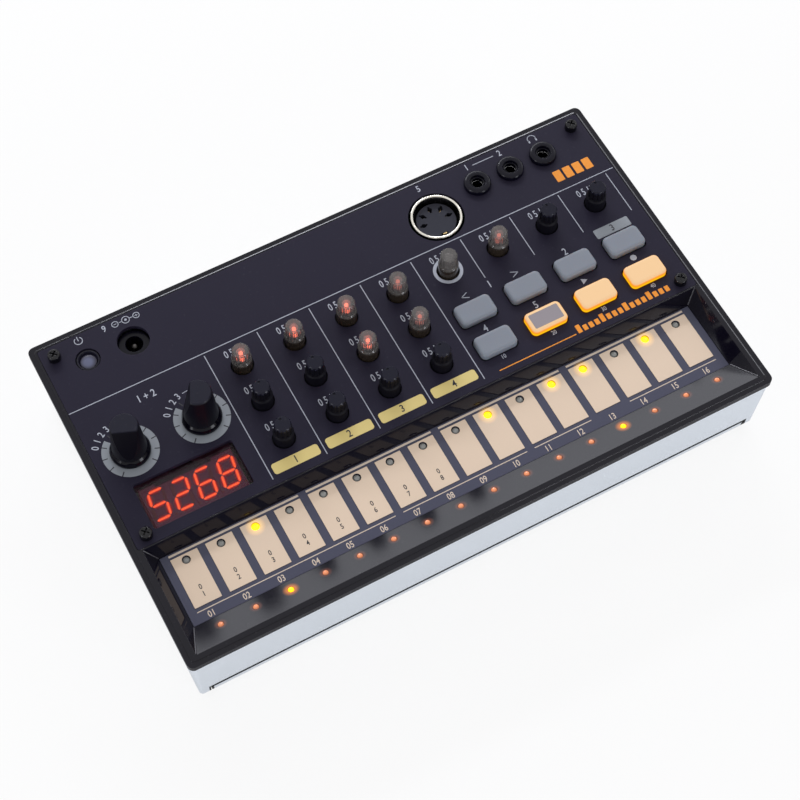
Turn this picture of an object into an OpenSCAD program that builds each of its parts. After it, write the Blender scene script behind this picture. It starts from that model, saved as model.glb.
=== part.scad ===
// Desktop drum machine: silver lower case, smoked black top cover with a sunken
// key bed, matt control panel, touch board, dials, knobs, buttons and sockets.
// X runs to the right, Y to the back, Z up. The origin is the middle of the
// footprint on the table. Places are measured from the front left corner of the
// rim and moved to the origin by at().

/* [Body] */
// Width across the rim
body_w = 193; // [188:1:205]
// Depth from the front edge to the back edge of the rim
body_d = 115; // [113:1:130]
// Height of the control panel over the table
panel_z = 30; // [29.5:0.5:36]
// Corner radius of the rim in plan
corner_r = 2; // [1:0.5:4]
// Wall of the lower case
case_wall = 2; // [1.6:0.1:2.4]
// Gap between the rim and the top of the lower case, seen from above
case_step = 0.5; // [0.2:0.1:0.8]
// How far each side of the lower case draws in towards the table
case_draft = 1.1; // [0.4:0.1:1.6]
// Radius under the lower edge of the case
case_foot_r = 1.8; // [1:0.2:2.4]
// Height of the rubber feet
foot_h = 1.3; // [0.8:0.1:3]
// Radius of the rubber feet
foot_r = 5; // [3:0.5:6]

/* [Top cover] */
// Height of the smoked cover's outer side
cover_side_h = 2.6; // [2:0.1:3.5]
// Width of the low flange round the rim
flange_w = 1.5; // [1:0.1:1.8]
// Drop from the land to the flange
flange_drop = 0.4; // [0.2:0.1:0.8]
// Width of the bevel along the land's edge
land_bevel = 0.5; // [0.2:0.1:0.8]
// Width of the ledge that carries the panel
ledge_w = 2.2; // [1.5:0.1:3]

/* [Key bed] */
// Depth of the key bed below the panel
bed_depth = 4.8; // [4:0.2:5.4]
// Rim left at the two ends of the bed
bed_side = 3.5; // [3:0.1:5]
// Rim left in front of the bed
bed_front = 3.1; // [2.5:0.1:4]
// Run of the long front slope
bed_front_slope = 9.6; // [9:0.2:11]
// Run of the two end slopes
bed_end_slope = 3.4; // [2:0.2:5]
// Run of the back slope
bed_back_slope = 2.5; // [1.5:0.1:3.5]
// Wall of the bed
bed_wall = 1.6; // [1.2:0.1:1.8]
// Number of touch keys
key_count = 16; // [8:1:16]
// Width of a touch key
key_w = 8.5; // [6:0.5:9.5]
// Printed strip in front of the touch keys
key_front_gap = 4.8; // [4:0.1:6]
// Strip behind the touch keys
key_back_gap = 2; // [1.6:0.1:3]
// Thickness of the touch board
board_t = 1.6; // [1.2:0.1:2]
// Radius of the light hole in a key
key_light_r = 1.3; // [0.8:0.1:1.6]
// Radius of the light holes in the front slope
slope_light_r = 0.95; // [0.7:0.05:1.2]

/* [Panel] */
// Thickness of the control panel
panel_t = 1.5; // [1:0.1:2]
// Rim left beside and behind the control panel
panel_side = 2.4; // [2:0.1:2.8]
// Front edge of the control panel, as a share of the depth
panel_front_share = 0.3417; // [0.341:0.0005:0.355]
// First knob column, from the left edge
first_col = 55.1; // [54:0.1:58]
// Last knob column, from the right edge
last_col = 14.6; // [13.5:0.1:16]
// Rearmost knob row, from the back edge
top_row_back = 35.35; // [34.5:0.05:36]
// Foremost knob row, over the panel's front edge
low_row = 12.51; // [12.3:0.05:13.5]
// Radius of the knob holes
knob_hole_r = 3.55; // [3.4:0.05:3.8]

/* [Knobs and dials] */
// Height of a small knob over the panel
knob_h = 9.2; // [7:0.2:12]
// Radius of a small knob's barrel
knob_r = 3.15; // [2.9:0.05:3.3]
// Radius of a small knob's fluted head
knob_head_r = 2.65; // [2.2:0.05:2.8]
// Flutes round a small knob's head
knob_flutes = 12; // [6:1:18]
// Height of a large dial over the panel
dial_h = 16; // [12:0.5:20]
// Radius of a large dial's skirt
dial_r = 6.1; // [5.5:0.1:7]
// Radius of a large dial's top
dial_top_r = 4.15; // [3.8:0.05:4.6]
// Distance from a dial's axis to its flat, at the top
dial_flat = 2; // [1.4:0.1:3]
// Distance between the two dials
dial_pitch = 23.1; // [20:0.1:24]

/* [Buttons] */
// Gap between two function buttons side by side
button_gap = 5.3; // [4.2:0.1:6.5]
// Depth of a function button
button_d = 7.4; // [6.5:0.1:7.8]
// Height of a function button over the panel
button_h = 2.2; // [1.4:0.1:3]
// Play between a button and its hole
button_play = 0.35; // [0.2:0.05:0.45]
// Travel of the buttons
button_travel = 0.8; // [0.5:0.1:0.9]
// Rear row of buttons, over the panel's front edge
button_row_rear = 23.3; // [22.6:0.1:24]
// Front row of buttons, over the panel's front edge
button_row_front = 11; // [10.8:0.1:11.8]
// Radius of the power button
power_r = 3.5; // [3:0.1:4]

/* [Display] */
// Width of the display window
window_w = 31.9; // [28:0.1:32.5]
// Depth of the display window
window_d = 15.8; // [14:0.1:16.5]
// Left edge of the window, from the left edge of the rim
window_x = 9.3; // [9.2:0.1:11]
// Front edge of the window, over the panel's front edge
window_y = 3.7; // [3.5:0.1:5]

/* [Sockets] */
// Distance from the back edge to the three plug jacks
jack_back = 11.6; // [11:0.1:12]
// Distance between the plug jacks
jack_pitch = 11.95; // [11.2:0.05:12.4]
// Bore of a plug jack
jack_bore_r = 1.8; // [1.77:0.01:1.85]
// Outer radius of a plug jack's collar
jack_collar_r = 4.4; // [4:0.1:4.8]
// Opening of a plug jack's collar
jack_mouth_r = 2.4; // [2.2:0.05:2.8]
// Radius of the round socket's bright shell
din_r = 8.2; // [7.8:0.1:8.5]
// Radius of the round socket's insert
din_insert_r = 6.35; // [6:0.05:6.5]
// Radius of the power socket's bore
dc_bore_r = 2.75; // [2.5:0.05:3]

/* [Batteries] */
// Radius of a battery cell
cell_r = 7.2; // [7:0.05:7.25]
// Length of a battery cell over its contact
cell_l = 50.3; // [49:0.1:50.5]
// Room from the end of a row of cells to the side of the case, and a little more
cell_margin = 15; // [14:0.5:20]
// Travel of the battery cover until it is off
door_travel = 40; // [10:1:60]

/* [Hidden] */
$fn = 48;
corner_fn = 32;
eps = 0.01;
// Gaps between pieces that sit together, and running clearance of a shaft
seat = 0.1;
turn_fit = 0.05;

// A length rounded to a tenth of a millimetre
function tenth(v) = round(10 * v) / 10;

// Heights over the table
floor_z = foot_h + case_wall;
case_top = panel_z - cover_side_h;
plate_z = panel_z - panel_t;
board_drop = 11;
board_z = panel_z - board_drop;
pcb_t = 1.6;
bed_z = panel_z - bed_depth;
touch_z = bed_z - board_t;
bed_ledge_t = 1.2;
key_print_t = 0.15;

// Battery bay, in the front of the lower case
bay_wall = 1.5;
bay_spare = 5;
bay_front_rail = 8;
cells_in_row = max(1, floor((body_w - 2 * cell_margin) / cell_l));
bay_end = cells_in_row * cell_l / 2 + bay_spare;
bay_back = 4 * cell_r + bay_spare + 1;
cell_play = 0.2;
cell_z = floor_z + cell_r + cell_play / 2;
roof_z = cell_z + cell_r + 0.3;
roof_t = 1.2;
roof_top = roof_z + roof_t;
door_side = 5;
door_gap = 0.4;
door_lip_h = 4.8;
door_lip_z = foot_h + door_lip_h;
rail_w = 3;
rail_t = 0.9;
rail_seat = 0.2;
rail_z = floor_z + 0.3;
rail_mid = (bay_back + bay_front_rail - body_d) / 2;
hook_w = 1.2;
hook_t = 0.7;
hook_l = bay_back - bay_front_rail - 4;
grip_l = 18;
grip_d = 0.8;
grip_pitch = 2;
grip_y = 20;

// Places on the panel, from the front left corner
cols = 8;
col_pitch = (body_w - first_col - last_col) / (cols - 1);
function col(i) = first_col + i * col_pitch;
panel_front = tenth(panel_front_share * body_d);
row_pitch = (body_d - top_row_back - panel_front - low_row) / 2;
function row(j) = body_d - top_row_back - j * row_pitch;
button_w = tenth(col_pitch - button_gap);
dial_x = 13.7;
dial_row = 29.95;
dial_y = panel_front + dial_row;
key_margin = 13.8;
key_pitch = (body_w - 2 * key_margin) / (key_count - 1);
key_y = bed_front + bed_front_slope + key_front_gap;
bed_lip = 0.5;
key_d = panel_front - bed_lip - bed_back_slope - key_back_gap - key_y;
key_light_back = 1.9;
key_light_y = key_y + key_d - key_light_back;
slope_light_y = bed_front + 0.65 * bed_front_slope;
power_x = 15.1;
power_back = 11.8;
power_y = body_d - power_back;
dc_x = 29.8;
dc_back = 12.2;
dc_y = body_d - dc_back;
jack_side = 5.2;
jack_x = col(cols - 1) - jack_side - 2 * jack_pitch;
din_gap = 4.79;
din_x = jack_x - jack_collar_r - din_gap - din_r;
din_back = 16.35;
din_y = body_d - din_back;
screw_in = 6.5;
screw_front_in = 3.2;
screw_back_in = 6.7;
screw_front = panel_front + screw_front_in;
screw_back = body_d - screw_back_in;
screw_points = [[screw_in, screw_front], [body_w - screw_in, screw_front],
                [screw_in, screw_back], [body_w - screw_in, screw_back]];
pillar_r = 2.8;
pillar_front = bay_back + bay_wall + pillar_r + 4.5;
pillar_back = body_d - 23.35;
board_points = [[dial_x + dial_pitch / 2, dial_y + dial_pitch / 2 + 5.45],
                [col(0.5), pillar_front], [col(0.5), pillar_back],
                [col(3.5), pillar_front], [col(5.5), body_d - din_back - 8],
                [col(6.5), pillar_front]];
speaker_x = col(2);
speaker_r = 18;
speaker_y = row(1) + 6.5;

// Which control stands at each column and row
clear_at = [[0, 0], [1, 0], [2, 0], [2, 1], [3, 0], [3, 1], [4, 0], [5, 0]];
black_at = [[0, 1], [0, 2], [1, 1], [1, 2], [2, 2], [3, 2], [6, 0], [7, 0]];
button_at = [[4, 0], [5, 0], [6, 0], [7, 0], [4, 1], [5, 1], [6, 1], [7, 1]];
function knob_point(k) = [col(k[0]), row(k[1])];
function button_point(k) =
  [col(k[0]), panel_front + (k[1] == 0 ? button_row_rear : button_row_front)];

// Small pots and their knobs
pot_w = 9.8;
pot_h = 6.9;
pot_top = board_z + pot_h;
knob_shaft_r = 2.5;
knob_light_r = 1.3;
light_pipe_r = 0.95;
knob_z = pot_top + seat;
knob_top = panel_z + knob_h;
knob_crown = 1.6;
pip_r = 0.4;
light_pipe_h = knob_top - knob_crown - light_pipe_r - 0.4 - board_z;

// Large pots and their dials
large_pot_w = 15;
large_pot_h = 6.5;
dial_shaft_r = 3;
dial_bush_r = 4.2;
dial_gap = 0.4;
dial_z = panel_z + dial_gap;
dial_top = panel_z + dial_h;
dial_skirt_h = 2.4;
dial_bore_h = 0.6 * dial_h;

// Buttons and the switches under them
switch_w = 6;
switch_h = 3.5;
plunger_r = 1.7;
plunger_h = 5.8;
flange_gap = 0.1;
flange_t = 1.2;
button_lip = 0.4;
button_r = 1.6;
stem_w = 4;
stem_gap = 0.1;
plunger_top = board_z + plunger_h;
stem_z = plunger_top + button_travel + stem_gap;
power_sink = 0.4;
power_dish = 1;
power_rim = 0.9;

// Sockets, over the board
socket_floor = 1;
dc_body_w = 11;
dc_body_h = 7.4;
dc_neck_r = 4.7;
dc_neck_h = 8.8;
dc_hole_r = 5;
dc_pin_r = 0.85;
dc_pin_h = 6.6;
din_wall = 0.85;
din_lip = 0.4;
din_sink = 1.9;
din_foot_h = 1.5;
din_pin_r = 0.75;
din_slot_l = 2.5;
din_slot_w = 0.65;
din_notch_w = 2.2;
jack_body_w = 9.6;
jack_body_d = 10.8;
jack_body_h = 9.3;
jack_bush_r = 2.95;
jack_bush_up = 0.9;
jack_collar_h = 1.9;

module at(p, z = 0) {
  translate([p[0] - body_w / 2, p[1] - body_d / 2, z]) children();
}

module rounded(w, d, r) {
  hull_r = min(r, min(w, d) / 2 - eps);
  for (sx = [-1, 1]) for (sy = [-1, 1])
    translate([sx * (w / 2 - hull_r), sy * (d / 2 - hull_r)]) circle(hull_r, $fn = corner_fn);
  square([w - 2 * hull_r, d], center = true);
  square([w, d - 2 * hull_r], center = true);
}

// A rounded plate that follows the rim, drawn in by an inset
module slab(inset, z, t = eps) {
  translate([0, 0, z]) linear_extrude(t)
    rounded(body_w - 2 * inset, body_d - 2 * inset, max(corner_r - inset / 2, 0.8));
}

// Outside of the lower case, or its inside when drawn in by the wall
module case_form(wall) {
  low = foot_h + wall;
  hull() {
    slab(case_step + wall, case_top - eps);
    slab(case_step + case_draft + wall, low + case_foot_r);
    slab(case_step + case_draft + wall + 0.3 * case_foot_r, low + 0.3 * case_foot_r);
    slab(case_step + case_draft + wall + case_foot_r, low);
  }
}

// Box from one corner to the other, in panel places
module span(x0, y0, z0, x1, y1, z1) {
  at([x0, y0], z0) cube([x1 - x0, y1 - y0, z1 - z0]);
}

module tube(r_out, r_in, h) {
  difference() {
    cylinder(h, r = r_out);
    translate([0, 0, -1]) cylinder(h + 2, r = r_in);
  }
}

// ---- Lower case ----

post_r = 3.2;
post_top = board_z - pcb_t - 1.4;
case_screw_r = 1.3;
screw_fit = 0.05;
screw_head_r = 2.4;
screw_head_h = 1.6;
board_screw_r = 1.05;
root_z = foot_h + case_wall / 4;
sound_hole_r = 1.1;
sound_hole_pitch = 4.4;
speaker_rim = 1.5;

module speaker_holes() {
  for (ring = [0 : 3]) for (k = [0 : max(1, 6 * ring) - 1])
    rotate(360 * k / max(1, 6 * ring)) translate([sound_hole_pitch * ring, 0, foot_h - 1])
      cylinder(case_wall + 2, r = sound_hole_r, $fn = 24);
}

module battery_bay() {
  mid = body_w / 2;
  difference() {
    span(mid - bay_end - bay_wall, case_step + case_wall - 0.4, rail_z,
         mid + bay_end + bay_wall, bay_back + bay_wall, roof_top);
    span(mid - bay_end, case_step, 0, mid + bay_end, bay_back, roof_z);
    span(door_side, -1, 0, body_w - door_side,
         case_step + case_draft + case_wall + case_foot_r, door_lip_z);
  }
  span(door_side, bay_back, foot_h + case_wall / 4, body_w - door_side, bay_back + bay_wall,
       floor_z + 1);
  for (side = [-1, 1]) translate([side * (bay_end + bay_wall + rail_w / 2 - rail_seat),
                                  rail_mid, rail_z + rail_t / 2])
    cube([rail_w + 2 * rail_seat, bay_back - bay_front_rail, rail_t], center = true);
}

module bottom_case() {
  color("silver") difference() {
    union() {
      difference() {
        case_form(0);
        case_form(case_wall);
        slab(case_step + case_wall, case_top - 1, 2);
        span(door_side, -1, 0, body_w - door_side, bay_back, door_lip_z);
      }
      battery_bay();
      for (p = screw_points) at(p, root_z) cylinder(post_top - root_z, r = post_r);
      for (p = board_points) at(p, root_z) cylinder(board_z - pcb_t - root_z, r = pillar_r);
      at([speaker_x, speaker_y], root_z) tube(speaker_r + speaker_rim, speaker_r + 0.3, 4);
    }
    for (p = screw_points) at(p, foot_h - 1) {
      cylinder(post_top, r = case_screw_r + screw_fit);
      cylinder(screw_head_h + 1.4, r = screw_head_r + 0.3);
    }
    for (p = board_points) at(p, floor_z + 2) cylinder(board_z, r = board_screw_r + screw_fit);
    at([speaker_x, speaker_y]) speaker_holes();
  }
}

module battery_cover() {
  hook_x = bay_end + bay_wall + rail_w + hook_w / 2 + 0.6;
  hook_z = rail_z + rail_t + 0.2;
  color("silver") {
    difference() {
      intersection() {
        case_form(0);
        span(door_side + door_gap, -1, 0, body_w - door_side - door_gap,
             bay_back - door_gap, door_lip_z - door_gap);
      }
      case_form(case_wall);
      for (side = [-1, 1]) for (k = [0 : 5])
        translate([side * body_w / 4, k * grip_pitch - body_d / 2 + grip_y, foot_h])
          cube([grip_l, grip_d, grip_d], center = true);
    }
    for (side = [-1, 1]) translate([side * hook_x, rail_mid, 0]) {
      translate([0, 0, (floor_z + hook_z + hook_t) / 2 - rail_seat])
        cube([hook_w, hook_l, hook_z + hook_t - floor_z + 2 * rail_seat], center = true);
      translate([-side * 1.6, 0, hook_z + hook_t / 2]) cube([3.2, hook_l, hook_t], center = true);
    }
  }
}

module foot() {
  rotate_extrude() polygon([[0, 0], [foot_r - 0.4, 0], [foot_r, 0.4], [foot_r, foot_h], [0, foot_h]]);
}

foot_in = 16;
foot_front_in = 5;
foot_back_in = 5.5;

module feet(y) {
  color("dimgray") for (x = [foot_in, body_w - foot_in]) at([x, y]) foot();
}

module front_feet() {
  feet(foot_r + foot_front_in);
}

module rear_feet() {
  feet(body_d - foot_r - foot_back_in);
}

// ---- Batteries ----

cell_edge = 0.6;
cell_nub_r = 2.75;
cell_nub_h = 1;
contact_gap = 0.9;
contact_t = 0.4;
contact_w = 8;
contact_h = 10;

module cell() {
  body_l = cell_l - cell_nub_h;
  rotate([0, 90, 0]) rotate_extrude() polygon([
    [0, 0], [cell_r - cell_edge, 0], [cell_r, cell_edge], [cell_r, body_l - cell_edge],
    [cell_r - cell_edge, body_l], [cell_nub_r, body_l], [cell_nub_r, cell_l], [0, cell_l]]);
}

module each_row() {
  mid_y = (case_step + case_wall + case_draft + bay_back) / 2;
  for (k = [-1, 1]) at([body_w / 2, mid_y + k * (cell_r + cell_play)], cell_z)
    rotate(k > 0 ? 0 : 180) children();
}

module batteries() {
  color("goldenrod") each_row()
    for (i = [1 : cells_in_row]) translate([bay_end - contact_gap - i * cell_l, 0, 0]) cell();
}

module battery_contacts() {
  spring_l = 2 * bay_end - contact_gap - cells_in_row * cell_l - contact_t - 0.2;
  color("gainsboro") each_row() {
    translate([bay_end - contact_t - 0.1, -contact_w / 2, -contact_h / 2])
      cube([contact_t, contact_w, contact_h]);
    translate([bay_end - contact_gap + 0.05, 0, 0]) rotate([0, 90, 0]) cylinder(0.5, r = 2);
    translate([0.1 - bay_end, -contact_w / 2, -contact_h / 2])
      cube([contact_t, contact_w, contact_h]);
    translate([0.3 - bay_end, 0, 0]) rotate([0, 90, 0])
      rotate_extrude() polygon([[0, 0], [3.6, 0], [2, spring_l], [0, spring_l]]);
  }
}

// ---- Top cover with the key bed ----

// Frustum between two rectangles in panel places
module sloped_pit(lo, hi, z_lo, z_hi) {
  corner = [[0, 1], [2, 1], [2, 3], [0, 3]];
  points = concat([for (c = corner) [lo[c[0]], lo[c[1]], z_lo]],
                  [for (c = corner) [hi[c[0]], hi[c[1]], z_hi]]);
  at([0, 0]) polyhedron(points, [[0, 1, 2, 3], [7, 6, 5, 4], [0, 4, 5, 1], [1, 5, 6, 2],
                                 [2, 6, 7, 3], [3, 7, 4, 0]]);
}

bed_top = [bed_side, bed_front, body_w - bed_side, panel_front - bed_lip];
bed_floor = [bed_top[0] + bed_end_slope, bed_top[1] + bed_front_slope,
             bed_top[2] - bed_end_slope, bed_top[3] - bed_back_slope];
function grown(r, by) = [r[0] - by, r[1] - by, r[2] + by, r[3] + by];

module bed_box(r, z0, z1) {
  span(r[0], r[1], z0, r[2], r[3], z1);
}

function key_x(i) = key_margin + i * key_pitch;
lip_t = 1.2;
lip_h = 1.5;
lip_in = case_step + case_wall + 0.15;
boss_r = 2.9;
panel_corner_r = 0.8;

module panel_outline(grow) {
  y_mid = (panel_front + body_d - panel_side) / 2;
  translate([0, y_mid - body_d / 2])
    rounded(body_w - 2 * panel_side + 2 * grow,
            body_d - panel_side - panel_front + 2 * grow, panel_corner_r);
}

// The raised land, with its outer edge rounded over
module land() {
  hull() {
    slab(flange_w, panel_z - flange_drop - eps);
    for (turn = [30, 60, 90]) slab(flange_w + land_bevel * (1 - cos(turn)),
                                   panel_z - flange_drop * (1 - sin(turn)) - eps);
  }
}

module top_cover() {
  color("#101014") difference() {
    union() {
      slab(0, case_top, cover_side_h - flange_drop);
      land();
      difference() {
        slab(lip_in, case_top - lip_h, lip_h + eps);
        slab(lip_in + lip_t, case_top - lip_h - 1, lip_h + 2);
      }
      sloped_pit(grown(bed_floor, bed_wall), grown(bed_top, bed_wall - 0.6),
                 bed_z - 0.4, panel_z - flange_drop - 0.5);
      bed_box(grown(bed_floor, bed_wall), touch_z - bed_ledge_t, bed_z);
      for (p = screw_points) at(p, post_top + seat)
        cylinder(plate_z - post_top - seat, r = boss_r);
    }
    translate([0, 0, plate_z]) linear_extrude(panel_t + 1) panel_outline(seat);
    translate([0, 0, case_top - 1]) linear_extrude(plate_z - case_top + 2) difference() {
      panel_outline(-ledge_w);
      for (p = screw_points) translate([p[0] - body_w / 2, p[1] - body_d / 2]) circle(boss_r);
    }
    sloped_pit(bed_floor, bed_top, bed_z - eps, panel_z + eps);
    bed_box(bed_floor, touch_z, bed_z + eps);
    bed_box(grown(bed_floor, -bed_wall), touch_z - bed_ledge_t - 1, bed_z);
    for (i = [0 : key_count - 1]) at([key_x(i), slope_light_y], touch_z)
      cylinder(bed_depth + board_t, r = slope_light_r, $fn = 24);
    for (p = screw_points) at(p, post_top - 1) cylinder(panel_z, r = case_screw_r + screw_fit);
  }
}

// ---- Control panel and display ----

module panel_holes() {
  for (k = clear_at) translate(knob_point(k)) circle(knob_hole_r);
  for (k = black_at) translate(knob_point(k)) circle(knob_hole_r);
  for (k = [0, 1]) translate([dial_x + k * dial_pitch, dial_y]) circle(dial_bush_r + 0.3);
  for (k = button_at) translate(button_point(k))
    rounded(button_w + 2 * button_play, button_d + 2 * button_play, button_r);
  translate([window_x + window_w / 2, panel_front + window_y + window_d / 2])
    rounded(window_w, window_d, 1);
  translate([power_x, power_y]) circle(power_r + 0.3);
  translate([dc_x, dc_y]) circle(dc_hole_r);
  translate([din_x, din_y]) circle(din_r + 0.7);
  for (k = [0 : 2]) translate([jack_x + k * jack_pitch, body_d - jack_back])
    circle(jack_bush_r + 0.25);
  for (p = screw_points) translate(p) circle(case_screw_r + 0.3);
}

module top_panel() {
  color("#33303a") translate([0, 0, plate_z]) linear_extrude(panel_t) difference() {
    panel_outline(0);
    translate([-body_w / 2, -body_d / 2]) panel_holes();
  }
}

lens_t = 1;
lens_lip = 0.8;

module display_window() {
  color("#5a0a0a", 0.6) translate([0, 0, plate_z - lens_t]) linear_extrude(lens_t)
    translate([-body_w / 2, -body_d / 2]) difference() {
      translate([window_x + window_w / 2, panel_front + window_y + window_d / 2])
        rounded(window_w + 2 * lens_lip, window_d + 2 * lens_lip, 1);
      for (p = screw_points) translate(p) circle(boss_r + 0.3);
    }
}

digit_pitch = 7.4;
digit_w = 5.6;
digit_d = 11;
digit_sink = 0.2;

module display_module() {
  module_w = window_w - 2.3;
  module_d = window_d - 1.2;
  top = plate_z - lens_t - 0.3;
  color("dimgray") at([window_x + window_w / 2, panel_front + window_y + window_d / 2], board_z)
    difference() {
      translate([-module_w / 2, -module_d / 2, 0]) cube([module_w, module_d, top - board_z]);
      for (k = [-1.5 : 1.5]) translate([k * digit_pitch, 0, top - board_z])
        cube([digit_w, digit_d, 2 * digit_sink], center = true);
    }
}

// ---- Boards ----

board_edge = 5.5;
board_edge_back = 4;
strip_d = 5;
strip_t = 1.2;
strip_end = 6;

module main_board() {
  color("darkgreen") difference() {
    span(board_edge, bay_back + bay_wall + 1.5, board_z - pcb_t, body_w - board_edge,
         body_d - board_edge_back, board_z);
    for (p = screw_points) at(p, board_z - 2 * pcb_t) cylinder(4 * pcb_t, r = boss_r + 1.1);
    for (p = board_points) at(p, board_z - 2 * pcb_t)
      cylinder(4 * pcb_t, r = board_screw_r + 0.3);
  }
}

module key_plates(grow, z, t) {
  for (i = [0 : key_count - 1]) at([key_x(i), key_y + key_d / 2], z)
    linear_extrude(t) rounded(key_w + 2 * grow, key_d + 2 * grow, 0.2);
}

module touch_board() {
  color("wheat") difference() {
    union() {
      bed_box(grown(bed_floor, -seat), touch_z, bed_z - key_print_t);
      key_plates(0, bed_z - key_print_t - 0.05, key_print_t + 0.05);
    }
    for (i = [0 : key_count - 1]) at([key_x(i), key_light_y], touch_z - 1)
      cylinder(board_t + 2, r = key_light_r);
  }
}

module step_leds() {
  color("orange") for (i = [0 : key_count - 1]) at([key_x(i), key_light_y], touch_z - 0.8) {
    cylinder(0.8, r = key_light_r + 0.5);
    cylinder(board_t + 0.3, r = key_light_r - 0.15);
  }
}

module led_strip_board() {
  color("darkgreen")
    span(key_margin - strip_end, slope_light_y - strip_d / 2, roof_top,
         body_w - key_margin + strip_end, slope_light_y + strip_d / 2, roof_top + strip_t);
}

module part_leds() {
  slope_z = panel_z - bed_depth * (slope_light_y - bed_front) / bed_front_slope;
  base = roof_top + strip_t;
  color("orange") for (i = [0 : key_count - 1]) at([key_x(i), slope_light_y], base) {
    cylinder(1, r = slope_light_r + 0.6);
    cylinder(slope_z - base + 0.1, r = slope_light_r - 0.1, $fn = 24);
  }
}

module tact_switch() {
  translate([-switch_w / 2, -switch_w / 2, 0]) cube([switch_w, switch_w, switch_h]);
  cylinder(plunger_h, r = plunger_r);
}

module tact_switches() {
  color("#222222") {
    for (k = button_at) at(button_point(k), board_z) tact_switch();
    at([power_x, power_y], board_z) tact_switch();
  }
}

module small_pots() {
  color("#2a2a2a") for (k = concat(clear_at, black_at)) at(knob_point(k), board_z) difference() {
    translate([-pot_w / 2, -pot_w / 2, 0]) cube([pot_w, pot_w, pot_h]);
    translate([0, 0, -1]) cylinder(pot_h + 2, r = knob_shaft_r + turn_fit);
  }
}

module large_pots() {
  color("silver") for (k = [0, 1]) at([dial_x + k * dial_pitch, dial_y], board_z) difference() {
    union() {
      translate([-large_pot_w / 2, -large_pot_w / 2, 0])
        cube([large_pot_w, large_pot_w, large_pot_h]);
      cylinder(board_drop - 0.2, r = dial_bush_r);
    }
    translate([0, 0, socket_floor]) cylinder(panel_z, r = dial_shaft_r + turn_fit);
  }
}

module control_leds() {
  color("red") for (k = clear_at) at(knob_point(k), board_z) {
    cylinder(light_pipe_h, r = light_pipe_r);
    translate([0, 0, light_pipe_h]) sphere(light_pipe_r);
  }
}

// ---- Sockets ----

module dc_jack() {
  color("#151515") at([dc_x, dc_y], board_z) difference() {
    union() {
      translate([-dc_body_w / 2, -dc_body_w / 2, 0]) cube([dc_body_w, dc_body_w, dc_body_h]);
      cylinder(dc_neck_h, r = dc_neck_r);
    }
    translate([0, 0, socket_floor]) cylinder(dc_neck_h, r = dc_bore_r);
  }
}

module dc_jack_pin() {
  color("gainsboro") at([dc_x, dc_y], board_z + socket_floor) {
    cylinder(dc_pin_h, r = dc_pin_r);
    translate([0, 0, dc_pin_h]) cylinder(0.4, r1 = dc_pin_r, r2 = dc_pin_r / 2);
  }
}

module din_socket_shell() {
  in = din_r - din_wall;
  top = board_drop + din_lip;
  color("gainsboro") at([din_x, din_y], board_z) rotate_extrude() polygon([
    [in, 0], [din_r, 0], [din_r, top - 0.3], [din_r - 0.1, top - 0.1], [din_r - 0.3, top],
    [in + 0.3, top], [in + 0.1, top - 0.1], [in, top - 0.3]]);
}

module din_socket_insert() {
  face = board_drop - din_sink;
  floor = din_foot_h + 0.5;
  color("#151515") at([din_x, din_y], board_z) difference() {
    union() {
      cylinder(din_foot_h, r = din_r - din_wall - turn_fit);
      cylinder(face, r = din_insert_r);
    }
    for (k = [-2 : 2]) rotate(90 + k * 45) translate([0.7 * din_insert_r, 0, floor]) {
      cylinder(face, r = din_pin_r, $fn = 24);
      translate([-din_slot_l / 2, -din_slot_w / 2, 0]) cube([din_slot_l, din_slot_w, face]);
    }
    translate([-din_notch_w / 2, -din_insert_r - 1, floor])
      cube([din_notch_w, din_notch_w, face]);
  }
}

module each_jack() {
  for (k = [0 : 2]) at([jack_x + k * jack_pitch, body_d - jack_back], board_z) children();
}

module phone_jacks() {
  color("#151515") each_jack() difference() {
    union() {
      translate([-jack_body_w / 2, -jack_body_d / 2, 0])
        cube([jack_body_w, jack_body_d, jack_body_h]);
      cylinder(board_drop + jack_bush_up, r = jack_bush_r);
    }
    translate([0, 0, socket_floor]) cylinder(panel_z, r = jack_bore_r);
  }
}

// Round nuts over the jacks: a round outer edge and a mouth that narrows at the top
module jack_collars() {
  in = jack_bush_r + turn_fit;
  round_r = 1.1;
  edge_z = jack_collar_h - round_r;
  color("#18181a") each_jack() translate([0, 0, board_drop]) rotate_extrude() polygon(concat(
    [[in, 0], [jack_collar_r, 0]],
    [for (a = [0 : 15 : 90]) [jack_collar_r - round_r * (1 - cos(a)), edge_z + round_r * sin(a)]],
    [[jack_mouth_r + 0.3, jack_collar_h], [jack_mouth_r, jack_collar_h - 0.3],
     [jack_mouth_r, jack_bush_up + 0.05], [in, jack_bush_up + 0.05]]));
}

// ---- Screws and speaker ----

module cross_recess(r, depth) {
  for (a = [0, 90]) rotate(a) cube([2 * r, 0.5, 2 * depth], center = true);
}

panel_head_r = 1.95;
panel_head_h = 2.6;
panel_screw_l = 8;
board_head_r = 2.1;
board_head_h = 1.4;
board_screw_l = 9;

module panel_screws() {
  color("#1a1a1c") for (p = screw_points) at(p, panel_z) rotate(45) difference() {
    union() {
      rotate_extrude() polygon([
        [0, 0], [panel_head_r, 0], [panel_head_r, panel_head_h - 0.7],
        [panel_head_r - 0.15, panel_head_h - 0.3], [panel_head_r - 0.5, panel_head_h],
        [0, panel_head_h]]);
      translate([0, 0, -panel_screw_l]) cylinder(panel_screw_l + eps, r = case_screw_r);
    }
    translate([0, 0, panel_head_h]) cross_recess(0.64 * panel_head_r, 1);
  }
}

module case_screws() {
  color("gray") for (p = screw_points) at(p, foot_h + 0.4) difference() {
    union() {
      cylinder(screw_head_h, r = screw_head_r);
      cylinder(board_z + 1 - foot_h, r = case_screw_r);
    }
    cross_recess(1.4, 0.9);
  }
}

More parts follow.
